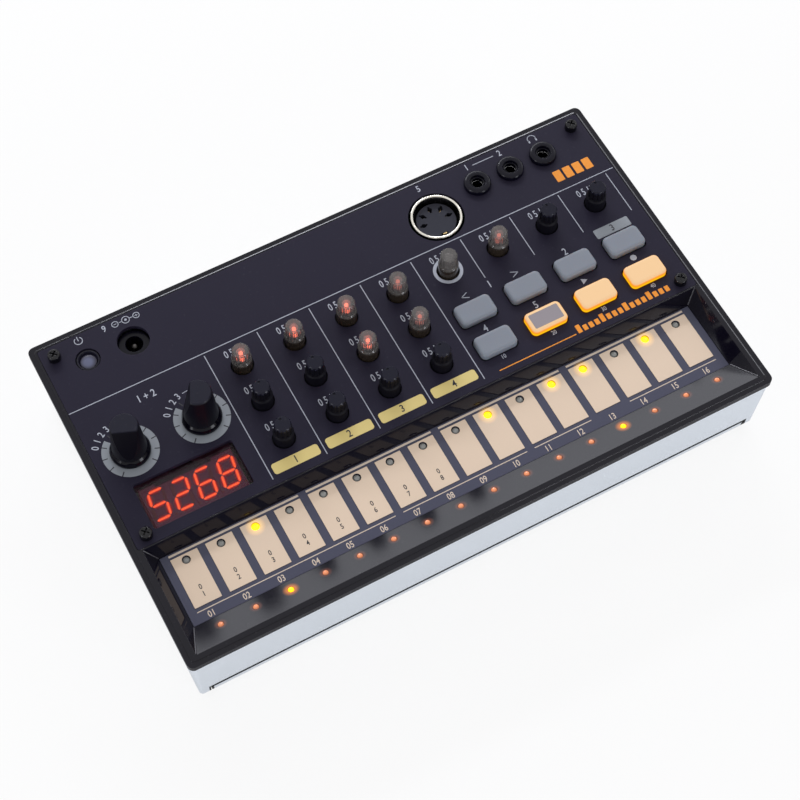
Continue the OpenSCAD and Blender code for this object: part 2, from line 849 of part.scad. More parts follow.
module board_screws() {
  color("gray") for (p = board_points) at(p, board_z) difference() {
    union() {
      cylinder(board_head_h, r = board_head_r);
      translate([0, 0, -board_screw_l]) cylinder(board_screw_l + eps, r = board_screw_r);
    }
    translate([0, 0, board_head_h]) cross_recess(1.2, 0.8);
  }
}

magnet_r = 9.5;
basket_h = 5.5;
basket_t = 0.9;
cone_in = speaker_r - 2;
surround_in = speaker_r - 4;
cap_r = 4;

module speaker_frame() {
  inner = basket_h - basket_t;
  color("gray") at([speaker_x, speaker_y], floor_z) difference() {
    rotate_extrude() polygon([
      [0, 0], [speaker_r, 0], [speaker_r, 1], [magnet_r + 2.5, basket_h], [magnet_r, basket_h],
      [magnet_r, basket_h + 4], [0, basket_h + 4]]);
    translate([0, 0, -eps]) rotate_extrude() polygon([
      [0, 0], [cone_in + 0.2, 0], [cone_in + 0.2, 0.8], [magnet_r + 1, inner], [0, inner]]);
  }
}

module speaker_cone() {
  color("#202020") at([speaker_x, speaker_y], floor_z) rotate_extrude() polygon([
    [0, 2.4], [cap_r, 2.4], [cap_r + 0.4, 3.4], [surround_in, 0.6], [cone_in, 0.3],
    [cone_in, 0.7], [surround_in, 1], [cap_r + 0.2, 4.1], [0, 4.1]]);
}

// ---- Buttons ----

cap_round = 0.9;

// A soft cap whose upper edges are rounded over
module keycap(w, d, top) {
  hull() {
    linear_extrude(eps) rounded(w, d, button_r);
    for (turn = [0 : 30 : 90])
      translate([0, 0, top - cap_round * (1 - sin(turn)) - eps]) linear_extrude(eps)
        rounded(w - 2 * cap_round * (1 - cos(turn)), d - 2 * cap_round * (1 - cos(turn)),
                button_r - 0.6 * cap_round * (1 - cos(turn)));
  }
}

module function_button(k) {
  flange_z = plate_z - flange_gap - flange_t;
  at(button_point(k)) {
    translate([0, 0, stem_z]) linear_extrude(flange_z - stem_z + eps)
      square([stem_w, stem_w], center = true);
    translate([0, 0, flange_z]) linear_extrude(flange_t)
      rounded(button_w + 2 * (button_play + button_lip),
              button_d + 2 * (button_play + button_lip), button_r);
    translate([0, 0, flange_z + flange_t - eps])
      keycap(button_w, button_d, panel_z + button_h - flange_z - flange_t + eps);
  }
}

module power_button() {
  flange_z = plate_z - flange_gap - flange_t;
  cap_h = panel_z - power_sink - flange_z - flange_t;
  color("#3a3f4a") at([power_x, power_y]) {
    translate([0, 0, stem_z]) cylinder(flange_z - stem_z + eps, r = stem_w / 2);
    translate([0, 0, flange_z]) cylinder(flange_t, r = power_r + 1);
    translate([0, 0, flange_z + flange_t - eps]) difference() {
      cylinder(cap_h, r = power_r);
      translate([0, 0, cap_h - power_dish])
        cylinder(power_dish + eps, r1 = power_r - power_rim, r2 = power_r - power_rim / 2);
    }
  }
}

// ---- Knobs and dials ----

module knob_form() {
  shoulder = knob_top - 0.5 * knob_h;
  difference() {
    rotate_extrude() polygon([
      [0, board_z + 1], [knob_shaft_r, board_z + 1], [knob_shaft_r, knob_z],
      [knob_r, knob_z], [knob_r, shoulder - 0.6], [knob_head_r + 0.1, shoulder],
      [knob_head_r, knob_top - 0.5], [knob_head_r - 0.4, knob_top], [0, knob_top]]);
    for (k = [0 : knob_flutes - 1]) rotate(360 * k / knob_flutes)
      translate([knob_head_r + 0.28, 0, shoulder + 0.3]) cylinder(knob_h, r = 0.5, $fn = 16);
  }
}

module clear_knob(k) {
  at(knob_point(k)) difference() {
    knob_form();
    translate([0, 0, board_z]) cylinder(knob_top - board_z - knob_crown, r = knob_light_r);
  }
}

module black_knob(k) {
  at(knob_point(k)) difference() {
    knob_form();
    translate([0, knob_head_r - 1.1, knob_top - 0.3]) cylinder(1, r = pip_r, $fn = 24);
  }
}

// A dial with one slanting flat that faces the given angle
module dial(k, angle) {
  skirt = dial_z + dial_skirt_h;
  far = dial_r + dial_h;
  at([dial_x + k * dial_pitch, dial_y]) rotate(angle) difference() {
    rotate_extrude() polygon([
      [0, dial_z], [dial_r, dial_z], [dial_r, dial_z + 0.8], [dial_r - 0.35, dial_z + 1.6],
      [dial_r - 0.9, skirt], [dial_top_r + 0.1, dial_top - 0.6], [dial_top_r - 0.3, dial_top],
      [0, dial_top]]);
    translate([dial_flat, 0, dial_top])
      rotate([0, -atan2(dial_r - 0.7 - dial_flat, dial_top - skirt), 0])
        translate([0, -far / 2, -far]) cube([far, far, 2 * far]);
    translate([0, 0, dial_z - 1]) cylinder(dial_bore_h + 1, r = dial_shaft_r + turn_fit);
  }
}

module dial_shaft(k) {
  low = board_z + socket_floor + 0.2;
  at([dial_x + k * dial_pitch, dial_y], low)
    cylinder(dial_z + dial_bore_h - low - 0.5, r = dial_shaft_r);
}

module left_dial() { color("#141416") dial(0, -112); }
module right_dial() { color("#141416") dial(1, 155); }
module left_dial_shaft() { color("silver") dial_shaft(0); }
module right_dial_shaft() { color("silver") dial_shaft(1); }

bottom_case();
battery_cover();
front_feet();
rear_feet();
batteries();
battery_contacts();
top_cover();
top_panel();
display_window();
display_module();
main_board();
touch_board();
step_leds();
led_strip_board();
part_leds();
tact_switches();
small_pots();
large_pots();
control_leds();
dc_jack();
dc_jack_pin();
din_socket_shell();
din_socket_insert();
phone_jacks();
jack_collars();
panel_screws();
case_screws();
board_screws();
speaker_frame();
speaker_cone();
power_button();
left_dial();
left_dial_shaft();
right_dial();
right_dial_shaft();
for (i = [0 : 7]) {
  color("#8a8a88", 0.8) clear_knob(clear_at[i]);
  color("#141416") black_knob(black_at[i]);
  color(i < 5 ? "#878e98" : "#ffb84d") function_button(button_at[i]);
}
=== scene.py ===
"""Looks of a desktop drum machine: finishes, print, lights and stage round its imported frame."""

import math

import bmesh
import bpy
from mathutils import Matrix, Vector


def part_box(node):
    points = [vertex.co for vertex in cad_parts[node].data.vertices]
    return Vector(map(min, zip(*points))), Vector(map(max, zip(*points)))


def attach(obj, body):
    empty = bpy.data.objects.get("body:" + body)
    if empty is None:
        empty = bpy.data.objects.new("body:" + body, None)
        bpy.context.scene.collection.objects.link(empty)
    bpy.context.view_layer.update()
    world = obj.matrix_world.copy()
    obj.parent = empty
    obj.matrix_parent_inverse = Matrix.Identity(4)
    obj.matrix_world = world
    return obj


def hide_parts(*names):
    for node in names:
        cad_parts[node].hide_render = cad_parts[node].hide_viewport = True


bl_info = {
    "name": "Drum Machine Looks",
    "version": (1, 0, 0),
    "blender": (4, 5, 0),
    "location": "3D View > Sidebar > Drum Machine",
    "description": "Finishes, panel print, lights and stage for a desktop drum machine",
    "category": "Object",
}

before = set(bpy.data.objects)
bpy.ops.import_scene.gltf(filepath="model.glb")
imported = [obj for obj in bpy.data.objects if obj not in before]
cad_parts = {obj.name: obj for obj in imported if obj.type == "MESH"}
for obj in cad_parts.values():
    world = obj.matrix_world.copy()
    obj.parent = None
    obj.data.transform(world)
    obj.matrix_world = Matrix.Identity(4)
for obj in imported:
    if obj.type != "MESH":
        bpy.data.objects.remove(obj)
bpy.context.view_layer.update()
MM = 0.001


# ---------------------------------------------------------------- places, in millimetres

def lows_and_highs(node):
    """Lowest and highest corner of a CAD node."""
    low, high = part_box(node)
    return low / MM, high / MM


def middle(node):
    """Centre of a CAD node in plan."""
    low, high = lows_and_highs(node)
    return (low.x + high.x) / 2, (low.y + high.y) / 2


def top_of(node):
    """Height of a CAD node's top."""
    return lows_and_highs(node)[1].z


def jack_places():
    """Centres of the three jacks in plan."""
    low, high = lows_and_highs("jack_collars")
    collar = high.y - low.y
    step = (high.x - low.x - collar) / 2
    return [(low.x + collar / 2 + k * step, (low.y + high.y) / 2) for k in range(3)]


RIM_LOW, RIM_HIGH = lows_and_highs("top_cover")
PANEL_LOW, PANEL_HIGH = lows_and_highs("top_panel")
BED_LOW, BED_HIGH = lows_and_highs("touch_board")
PANEL_Z, BED_Z = PANEL_HIGH.z, BED_HIGH.z
BED_FRONT_RUN, BED_BACK_RUN, BED_END_RUN = 9.6, 2.5, 3.4
DOOR_SEAM_Z, DOOR_SEAM_X = 5.9, RIM_HIGH.x - 5.2
CLEAR_KNOBS = [f"clear_knob_{i}" for i in range(1, 9)]
BLACK_KNOBS = [f"black_knob_{i}" for i in range(1, 9)]
BRIGHT_KNOBS = CLEAR_KNOBS[:4]
SOFT_KNOBS = [CLEAR_KNOBS[4], CLEAR_KNOBS[5], CLEAR_KNOBS[7]]
UNLIT_KNOB = CLEAR_KNOBS[6]
DIALS = ("left_dial", "right_dial")
BUTTONS = [f"button_{i}" for i in range(1, 9)]
GREY_BUTTONS, LIT_BUTTONS = BUTTONS[:5], BUTTONS[5:]
COLUMN = [middle(name)[0] for name in
          ("clear_knob_1", "clear_knob_2", "clear_knob_3", "clear_knob_5", "clear_knob_7",
           "clear_knob_8", "black_knob_7", "black_knob_8")]
BACK_ROW = middle("clear_knob_1")[1]
PITCH = COLUMN[1] - COLUMN[0]
KEY_COUNT = 16
STEP_LOW, STEP_HIGH = lows_and_highs("step_leds")
SLOPE_LOW, SLOPE_HIGH = lows_and_highs("part_leds")
KEY_PITCH = (STEP_HIGH.x - STEP_LOW.x - (STEP_HIGH.y - STEP_LOW.y)) / (KEY_COUNT - 1)
KEY_X = [(i - (KEY_COUNT - 1) / 2) * KEY_PITCH for i in range(KEY_COUNT)]
KEY_LIGHT_Y = (STEP_LOW.y + STEP_HIGH.y) / 2
SLOPE_LIGHT_Y = (SLOPE_LOW.y + SLOPE_HIGH.y) / 2
KEY_W, KEY_D = 8.5, 16.8
KEY_FRONT = KEY_LIGHT_Y + 1.9 - KEY_D
BOARD_Z = BED_Z - 0.15
LIT_KEYS = (2, 9, 11, 12, 14)
LIT_SLOPE = (2, 12)
INK, INK_SINK = 0.03, 0.02
INK_LOW, INK_HIGH = PANEL_Z - INK_SINK, PANEL_Z + INK
DOME_SIDES, DOME_FLATNESS = 28, 0.7
BEVEL_SAMPLES = 4


def light_places(lit, y, z, shining=True):
    """Places of a row's shining lights, or of its dim ones."""
    return [(x, y, z) for i, x in enumerate(KEY_X) if (i in lit) == shining]


# ---------------------------------------------------------------- settings

def srgb(red, green, blue):
    """A screen colour of 0 to 255 as a linear colour."""
    def line(value):
        value /= 255
        return value / 12.92 if value <= 0.04045 else ((value + 0.055) / 1.055) ** 2.4
    return (line(red), line(green), line(blue), 1.0)


NO_LIGHT, MID_GREY, WHITE = (0, 0, 0, 1), (0.5, 0.5, 0.5, 1), (1, 1, 1, 1)


def colour_setting(name, description, value):
    return bpy.props.FloatVectorProperty(name=name, description=description, subtype="COLOR",
                                         size=4, min=0, max=1, default=value)


def number_setting(name, description, value, least=0, **words):
    return bpy.props.FloatProperty(name=name, description=description, min=least,
                                   default=value, **words)


class DrumMachineFinish(bpy.types.PropertyGroup):
    """Colours of the mouldings"""
    case: colour_setting("Case", "Silver paint of the lower case", srgb(223, 229, 235))
    cover: colour_setting("Cover", "Smoked black of the top cover", srgb(13, 11, 23))
    panel: colour_setting("Panel", "Matt ground of the control panel", srgb(33, 30, 46))
    board: colour_setting("Board", "Ground of the touch board", srgb(72, 73, 92))
    key: colour_setting("Key", "Cream print of the touch keys", srgb(238, 214, 190))
    knob: colour_setting("Knob", "Black of the knobs and dials", srgb(5, 4, 13))
    # The lighter knob head is painted sheen: it stands in for the light on the tops of the knobs
    # and dials.
    head: colour_setting("Knob head", "Satin top of the knobs and dials", srgb(27, 27, 40))
    clear: colour_setting("Clear knob", "Cloudy moulding of the clear knobs", srgb(168, 164, 162))
    button: colour_setting("Button", "Grey silicone of the buttons", srgb(127, 132, 143))


class DrumMachinePrint(bpy.types.PropertyGroup):
    """Inks and line sizes of the printing"""
    grey: colour_setting("Grey ink", "Lines and numbers on the panel", srgb(176, 180, 192))
    scale: colour_setting("Scale ink", "Rings round the two dials", srgb(138, 143, 150))
    orange: colour_setting("Orange ink", "Line and bars on the panel", srgb(244, 150, 30))
    yellow: colour_setting("Yellow ink", "Number plates on the panel", srgb(224, 202, 128))
    dark: colour_setting("Dark ink", "Numbers on plates and keys", srgb(32, 30, 40))
    cream: colour_setting("Cream ink", "Print in the key bed", srgb(226, 208, 190))
    line: number_setting("Line", "Width of the panel lines", 0.0003, unit="LENGTH", precision=5)
    numeral: number_setting("Numeral", "Height of the panel numbers", 0.0026, unit="LENGTH",
                            precision=5)


class DrumMachineLights(bpy.types.PropertyGroup):
    """Colours and levels of the lights"""
    yellow: colour_setting("Yellow light", "Lit steps", srgb(255, 214, 20))
    red: colour_setting("Red light", "Digits of the display", srgb(255, 92, 44))
    knob: colour_setting("Knob light", "Lights in the clear knobs", srgb(255, 118, 88))
    digit_level: number_setting("Digits", "Strength of the digits", 1.8)
    step_level: number_setting("Steps", "Strength of the lit steps", 2.2)
    readout: bpy.props.StringProperty(name="Readout", description="Number in the display",
                                      default="5268")


class DrumMachineStage(bpy.types.PropertyGroup):
    """Floor, lamps and camera"""
    floor: colour_setting("Floor", "Pale floor", (0.95, 0.95, 0.95, 1))
    lens: number_setting("Lens", "Focal length for a 36 mm sensor", 83.49, least=1)
    world: number_setting("World", "Level of the surrounding white", 0.56)
    key_power: number_setting("Key lamp", "Power of the rear lamp", 2.5, unit="POWER")
    edge_power: number_setting("Edge lamps", "Power of an edge lamp", 3.8, unit="POWER")
    fill_power: number_setting("Fill lamps", "Power of a side lamp", 2.4, unit="POWER")


# ---------------------------------------------------------------- node helpers

def new_tree(name, kind, inputs, outputs):
    """A node tree with named sockets; inputs hold a type and a default, outputs a type."""
    tree = bpy.data.node_groups.new(name, kind)
    for title, (socket_kind, default) in inputs.items():
        socket = tree.interface.new_socket(title, in_out="INPUT",
                                           socket_type="NodeSocket" + socket_kind)
        if default is not None:
            socket.default_value = default
    for title, socket_kind in outputs.items():
        tree.interface.new_socket(title, in_out="OUTPUT", socket_type="NodeSocket" + socket_kind)
    given, out = tree.nodes.new("NodeGroupInput"), tree.nodes.new("NodeGroupOutput")
    return tree, given.outputs, out.inputs


def set_or_link(tree, socket, value):
    """Gives a socket a plain value, or links it to another socket."""
    if isinstance(value, bpy.types.NodeSocket):
        tree.links.new(value, socket)
    else:
        socket.default_value = value


def add(tree, kind, inputs=None, **settings):
    """A node with its properties, and its inputs by name or number."""
    node = tree.nodes.new(kind)
    for title, value in settings.items():
        setattr(node, title, value)
    for title, value in (inputs or {}).items():
        set_or_link(tree, node.inputs[title], value)
    return node


def math_node(tree, operation, *values):
    """Math nodes in a row over sockets or plain values."""
    result = values[0]
    for value in values[1:]:
        result = add(tree, "ShaderNodeMath", {0: result, 1: value}, operation=operation).outputs[0]
    return result


def mix_colour(tree, factor, first, second):
    """A colour mix; factor and colours are sockets or plain values."""
    return add(tree, "ShaderNodeMix", {0: factor, 6: first, 7: second},
               data_type="RGBA").outputs[2]


def object_place(tree):
    """The place on the object, as a socket."""
    return add(tree, "ShaderNodeTexCoord").outputs["Object"]


def object_axes(tree):
    """The place on the object as X, Y and Z."""
    return add(tree, "ShaderNodeSeparateXYZ", {0: object_place(tree)}).outputs


def noise(tree, scale, detail):
    """Noise laid over the object."""
    return add(tree, "ShaderNodeTexNoise", {"Vector": object_place(tree), "Scale": scale,
                                            "Detail": detail}).outputs["Fac"]


def fade(tree, value, start, end, first=0, last=1, kind="SMOOTHSTEP"):
    """Goes from the first to the last value between two lengths in millimetres."""
    return add(tree, "ShaderNodeMapRange",
               {"Value": value, "From Min": start * MM, "From Max": end * MM,
                "To Min": first, "To Max": last}, interpolation_type=kind).outputs["Result"]


def near_mask(tree, points, inner, outer):
    """1 within the inner distance of any point, falling to 0 at the outer; in millimetres."""
    place = object_place(tree)
    gaps = [add(tree, "ShaderNodeVectorMath", {0: place, 1: Vector(point) * MM},
                operation="DISTANCE").outputs["Value"] for point in points]
    return fade(tree, math_node(tree, "MINIMUM", *gaps), inner, outer, 1, 0)


def height_share(tree, low, high, first=0, last=1, kind="SMOOTHSTEP"):
    """Goes from the first to the last value between two heights in millimetres."""
    return fade(tree, object_axes(tree)["Z"], low, high, first, last, kind)


# ---------------------------------------------------------------- shared shader groups

def build_grain_group():
    """Fine moulded grain: mottled colour, uneven gloss, a shallow bump and rounded edges."""
    tree, given, out = new_tree(
        "moulded_grain", "ShaderNodeTree",
        {"Color": ("Color", MID_GREY), "Roughness": ("Float", 0.5), "Depth": ("Float", 0.2),
         "Grain Size": ("Float", 0.0004), "Mottle": ("Float", 0.05),
         "Edge Radius": ("Float", 0.0002)},
        {"Color": "Color", "Roughness": "Float", "Normal": "Vector"})
    fine = noise(tree, math_node(tree, "DIVIDE", 1.0, given["Grain Size"]), 2)
    broad = noise(tree, 45, 3)
    swing = math_node(tree, "SUBTRACT", math_node(tree, "ADD", broad, fine), 1.0)
    amount = math_node(tree, "MULTIPLY", swing, given["Mottle"])
    shade = add(tree, "ShaderNodeVectorMath",
                {0: given["Color"], "Scale": math_node(tree, "ADD", amount, 1.0)},
                operation="SCALE")
    gloss = math_node(tree, "ADD", given["Roughness"], math_node(tree, "MULTIPLY", amount, 1.5))
    rounded = add(tree, "ShaderNodeBevel", {"Radius": given["Edge Radius"]}, samples=BEVEL_SAMPLES)
    bump = add(tree, "ShaderNodeBump", {"Distance": 0.00005, "Strength": given["Depth"],
                                        "Height": fine, "Normal": rounded.outputs["Normal"]})
    tree.links.new(shade.outputs[0], out["Color"])
    tree.links.new(gloss, out["Roughness"])
    tree.links.new(bump.outputs["Normal"], out["Normal"])
    return tree


def build_edge_group():
    """A slightly paler line along edges: wear, and on the silver case also a painted highlight."""
    tree, given, out = new_tree(
        "edge_wear_and_highlight", "ShaderNodeTree",
        {"Color": ("Color", MID_GREY), "Worn": ("Color", WHITE), "Amount": ("Float", 0.2)},
        {"Color": "Color"})
    soft = add(tree, "ShaderNodeBevel", {"Radius": 0.00025}, samples=BEVEL_SAMPLES)
    flat = add(tree, "ShaderNodeNewGeometry")
    facing = add(tree, "ShaderNodeVectorMath", {0: soft.outputs["Normal"],
                                                1: flat.outputs["True Normal"]},
                 operation="DOT_PRODUCT")
    edge = math_node(tree, "SUBTRACT", 1.0, facing.outputs["Value"])
    mask = math_node(tree, "MULTIPLY", edge, given["Amount"])
    capped = math_node(tree, "MINIMUM", mask, 1.0)
    tree.links.new(mix_colour(tree, capped, given["Color"], given["Worn"]), out["Color"])
    return tree


def build_dust_group():
    """Thin dust that lies on faces that look up."""
    tree, given, out = new_tree(
        "settled_dust", "ShaderNodeTree",
        {"Color": ("Color", MID_GREY), "Amount": ("Float", 0.05), "Roughness": ("Float", 0.3)},
        {"Color": "Color", "Roughness": "Float"})
    facing = add(tree, "ShaderNodeSeparateXYZ",
                 {0: add(tree, "ShaderNodeNewGeometry").outputs["Normal"]})
    upward = math_node(tree, "MAXIMUM", facing.outputs["Z"], 0.0)
    specks = add(tree, "ShaderNodeValToRGB", {0: noise(tree, 900, 4)})
    specks.color_ramp.elements[0].position = 0.62
    specks.color_ramp.elements[1].position = 0.8
    amount = math_node(tree, "MULTIPLY", upward, specks.outputs["Color"], given["Amount"])
    tree.links.new(mix_colour(tree, amount, given["Color"], (0.6, 0.6, 0.62, 1)), out["Color"])
    tree.links.new(math_node(tree, "ADD", given["Roughness"], amount), out["Roughness"])
    return tree


BUILDERS = {"grain": build_grain_group, "edge": build_edge_group, "dust": build_dust_group}
GROUPS = {}


def place_group(tree, name, inputs):
    """A shared group in a material; the group is built the first time it is needed."""
    if name not in GROUPS:
        GROUPS[name] = BUILDERS[name]()
    return add(tree, "ShaderNodeGroup", inputs, node_tree=GROUPS[name])


def vary(material, title, value, group="grain"):
    """Links a value that changes over the surface to a shared group in a finish."""
    tree = material.node_tree
    placed = next(node for node in tree.nodes
                  if node.type == "GROUP" and node.node_tree == GROUPS[group])
    tree.links.new(value, placed.inputs[title])


# ---------------------------------------------------------------- finishes

def finish(name, colour, rough=0.5, grain=0.0004, depth=0.15, mottle=0.05, dust=0.03,
           worn=0.0, worn_colour=MID_GREY, **shader):
    """A moulded, painted or plated finish; further words set the shader's own sockets."""
    material = bpy.data.materials.new(name)
    material.use_nodes = True
    tree = material.node_tree
    grained = place_group(tree, "grain", {"Color": colour, "Roughness": rough, "Depth": depth,
                                          "Grain Size": grain, "Mottle": mottle}).outputs
    shade = grained["Color"]
    if worn:
        shade = place_group(tree, "edge", {"Color": shade, "Worn": worn_colour,
                                           "Amount": worn}).outputs["Color"]
    dusty = place_group(tree, "dust", {"Color": shade, "Roughness": grained["Roughness"],
                                       "Amount": dust}).outputs
    skin = tree.nodes["Principled BSDF"].inputs
    tree.links.new(dusty["Color"], skin["Base Color"])
    tree.links.new(dusty["Roughness"], skin["Roughness"])
    tree.links.new(grained["Normal"], skin["Normal"])
    for title, value in shader.items():
        skin[title.replace("_", " ")].default_value = value
    return material


def light_finish(name, colour, level, rough=0.3):
    """A lens or a die that gives light."""
    return finish(name, colour, rough=rough, depth=0.05, mottle=0.04, dust=0.0,
                  Emission_Color=colour, Emission_Strength=level)


def ink_finish(name, colour, rough=0.5, mottle=0.05, dust=0.02):
    """A printed ink."""
    return finish(name, colour, rough=rough, depth=0.05, mottle=mottle, dust=dust)


def dress(nodes, name, colour, **words):
    """A finish on CAD nodes, through their own material slots."""
    material = finish(name, colour, **words)
    for node in nodes:
        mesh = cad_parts[node].data
        if mesh.materials:
            mesh.materials[0] = material
        else:
            mesh.materials.append(material)
    return material


def glow(material, colour, level):
    """Light that a finish gives where the colour says so."""
    skin = material.node_tree.nodes["Principled BSDF"].inputs
    material.node_tree.links.new(colour, skin["Emission Color"])
    skin["Emission Strength"].default_value = level


def gloss_by_height(material, low, high, below, above):
    """A roughness that goes from one value to another between two heights."""
    vary(material, "Roughness",
         height_share(material.node_tree, low, high, below, above, "LINEAR"))


def colour_by_height(material, low, high, below, above, kind="LINEAR"):
    """A colour that goes from one to another between two heights."""
    tree = material.node_tree
    share = height_share(tree, low, high, kind=kind)
    vary(material, "Color", mix_colour(tree, share, below, above))


# ---------------------------------------------------------------- mesh helpers

def new_object(name, data):
    """An object in the scene."""
    thing = bpy.data.objects.new(name, data)
    bpy.context.scene.collection.objects.link(thing)
    return thing


def evaluated_mesh(holder):
    """The plain mesh of an object whose shape is made by text or by a modifier."""
    bpy.context.view_layer.update()
    return bpy.data.meshes.new_from_object(
        holder.evaluated_get(bpy.context.evaluated_depsgraph_get()))


def solid(name, shape, material):
    """An object from a bmesh whose points are in millimetres."""
    mesh = bpy.data.meshes.new(name)
    bmesh.ops.transform(shape, matrix=Matrix.Scale(MM, 4), verts=shape.verts)
    bmesh.ops.recalc_face_normals(shape, faces=shape.faces)
    shape.to_mesh(mesh)
    shape.free()
    mesh.materials.append(material)
    return new_object(name, mesh)


def belong(piece, body):
    """Puts a piece on its body."""
    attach(piece, body)
    return piece


def new_piece(name, shape, material, body="root"):
    """A finished piece from a bmesh whose points are in millimetres."""
    return belong(solid(name, shape, material), body)


def smooth(piece, angle=35):
    """Smooth shading up to an angle."""
    for face in piece.data.polygons:
        face.use_smooth = True
    piece.data.set_sharp_from_angle(angle=math.radians(angle))
    return piece


def box_outline(x0, y0, x1, y1):
    return [(x0, y0), (x1, y0), (x1, y1), (x0, y1)]


def bar_outline(cx, cy, width, depth):
    """A rectangle round its centre."""
    return box_outline(cx - width / 2, cy - depth / 2, cx + width / 2, cy + depth / 2)


def arc_points(cx, cy, radius, start, end, steps):
    """Points along an arc; angles in degrees, anticlockwise from the right."""
    angles = [math.radians(start + (end - start) * k / steps) for k in range(steps + 1)]
    return [(cx + radius * math.cos(a), cy + radius * math.sin(a)) for a in angles]


def disc_outline(cx, cy, radius, steps=40):
    return arc_points(cx, cy, radius, 0, 360, steps)[:-1]


def rounded_outline(cx, cy, width, depth, radius, steps=6):
    """A rectangle with round corners."""
    points = []
    for quarter, (sx, sy) in enumerate(((1, 1), (-1, 1), (-1, -1), (1, -1))):
        points += arc_points(cx + sx * (width / 2 - radius), cy + sy * (depth / 2 - radius),
                             radius, 90 * quarter, 90 * quarter + 90, steps)
    return points


def arc_outline(cx, cy, inner, outer, start, end, steps=60):
    """A band along an arc."""
    return (arc_points(cx, cy, outer, start, end, steps)
            + arc_points(cx, cy, inner, start, end, steps)[::-1])


def stroke_outline(x0, y0, x1, y1, width):
    """A straight stroke of even width."""
    along = Vector((x1 - x0, y1 - y0)).normalized() * (width / 2)
    side = Vector((-along.y, along.x))
    return [(x0 - side.x, y0 - side.y), (x1 - side.x, y1 - side.y),
            (x1 + side.x, y1 + side.y), (x0 + side.x, y0 + side.y)]


def plate(shape, outline, low, high):
    """Adds a closed plate with the given outline."""
    below = [shape.verts.new((x, y, low)) for x, y in outline]
    above = [shape.verts.new((x, y, high)) for x, y in outline]
    shape.faces.new(below[::-1])
    shape.faces.new(above)
    for i in range(len(outline)):
        shape.faces.new((below[i - 1], below[i], above[i], above[i - 1]))


def stamp(shape, *outlines):
    """Prints outlines on the control panel."""
    for outline in outlines:
        plate(shape, outline, INK_LOW, INK_HIGH)


def lathe(shape, cx, cy, profile, steps=48, closed=False):
    """Adds a turned form; its profile starts and ends on the axis, or closes on itself."""
    rings = []
    for radius, z in profile:
        points = disc_outline(cx, cy, radius, steps) if radius else [(cx, cy)]
        rings.append([shape.verts.new((x, y, z)) for x, y in points])
    for a, b in zip(rings, rings[1:] + (rings[:1] if closed else [])):
        for k in range(steps):
            j = (k + 1) % steps
            corners = (a[k % len(a)], a[j % len(a)], b[j % len(b)], b[k % len(b)])
            shape.faces.new(list(dict.fromkeys(corners)))


def ring_band(shape, cx, cy, inner, outer, low=INK_LOW, high=INK_HIGH, steps=64):
    """Adds a full flat ring, as print on the panel unless its heights are given."""
    lathe(shape, cx, cy, [(inner, low), (outer, low), (outer, high), (inner, high)], steps,
          closed=True)


def rod(shape, start, end, radius, steps=12):
    """Adds a thin closed rod between two points."""
    side = (end - start).cross(Vector((0, 0, 1))).normalized()
    up = side.cross((end - start).normalized())
    spread = [side * x + up * y for x, y in disc_outline(0, 0, radius, steps)]
    first, last = ([shape.verts.new(point + away) for away in spread] for point in (start, end))
    for k in range(steps):
        shape.faces.new((first[k - 1], first[k], last[k], last[k - 1]))
    shape.faces.new(first[::-1])
    shape.faces.new(last)


def numeral(shape, text, x, y, height, low=INK_LOW, turn=0.0, narrow=0.8):
    """Adds numbers, centred at a place, as solid figures of ink."""
    curve = bpy.data.curves.new("numeral", "FONT")
    for title, value in {"body": text, "align_x": "CENTER", "align_y": "CENTER", "size": 1.0,
                         "resolution_u": 3, "offset": 0.012, "extrude": 0.5}.items():
        setattr(curve, title, value)
    holder = new_object("numeral", curve)
    mesh = evaluated_mesh(holder)
    cap_height = 0.73
    scale = height / cap_height
    mesh.transform(Matrix.Translation((x, y, low + INK / 2))
                   @ Matrix.Rotation(math.radians(turn), 4, "Z")
                   @ Matrix.Diagonal((scale * narrow, scale, INK, 1)))
    shape.from_mesh(mesh)
    bpy.data.meshes.remove(mesh)
    bpy.data.objects.remove(holder)
    bpy.data.curves.remove(curve)


# ---------------------------------------------------------------- geometry nodes

def new_grower(name, inputs):
    """A geometry tree over points, with further inputs."""
    return new_tree(name, "GeometryNodeTree",
                    {"Geometry": ("Geometry", None), **inputs, "Material": ("Material", None)},
                    {"Geometry": "Geometry"})


def axis_vector(tree, **parts):
    """A vector from its parts by axis."""
    return add(tree, "ShaderNodeCombineXYZ", parts).outputs[0]


def finish_tree(tree, piece, given, out):
    """Ends a tree with a copy at every point, Realize Instances and Set Material."""
    copies = add(tree, "GeometryNodeInstanceOnPoints", {"Points": given["Geometry"],
                                                        "Instance": piece})
    whole = add(tree, "GeometryNodeRealizeInstances", {0: copies.outputs[0]})
    painted = add(tree, "GeometryNodeSetMaterial", {"Geometry": whole.outputs[0],
                                                    "Material": given["Material"]})
    tree.links.new(painted.outputs[0], out[0])
    return tree


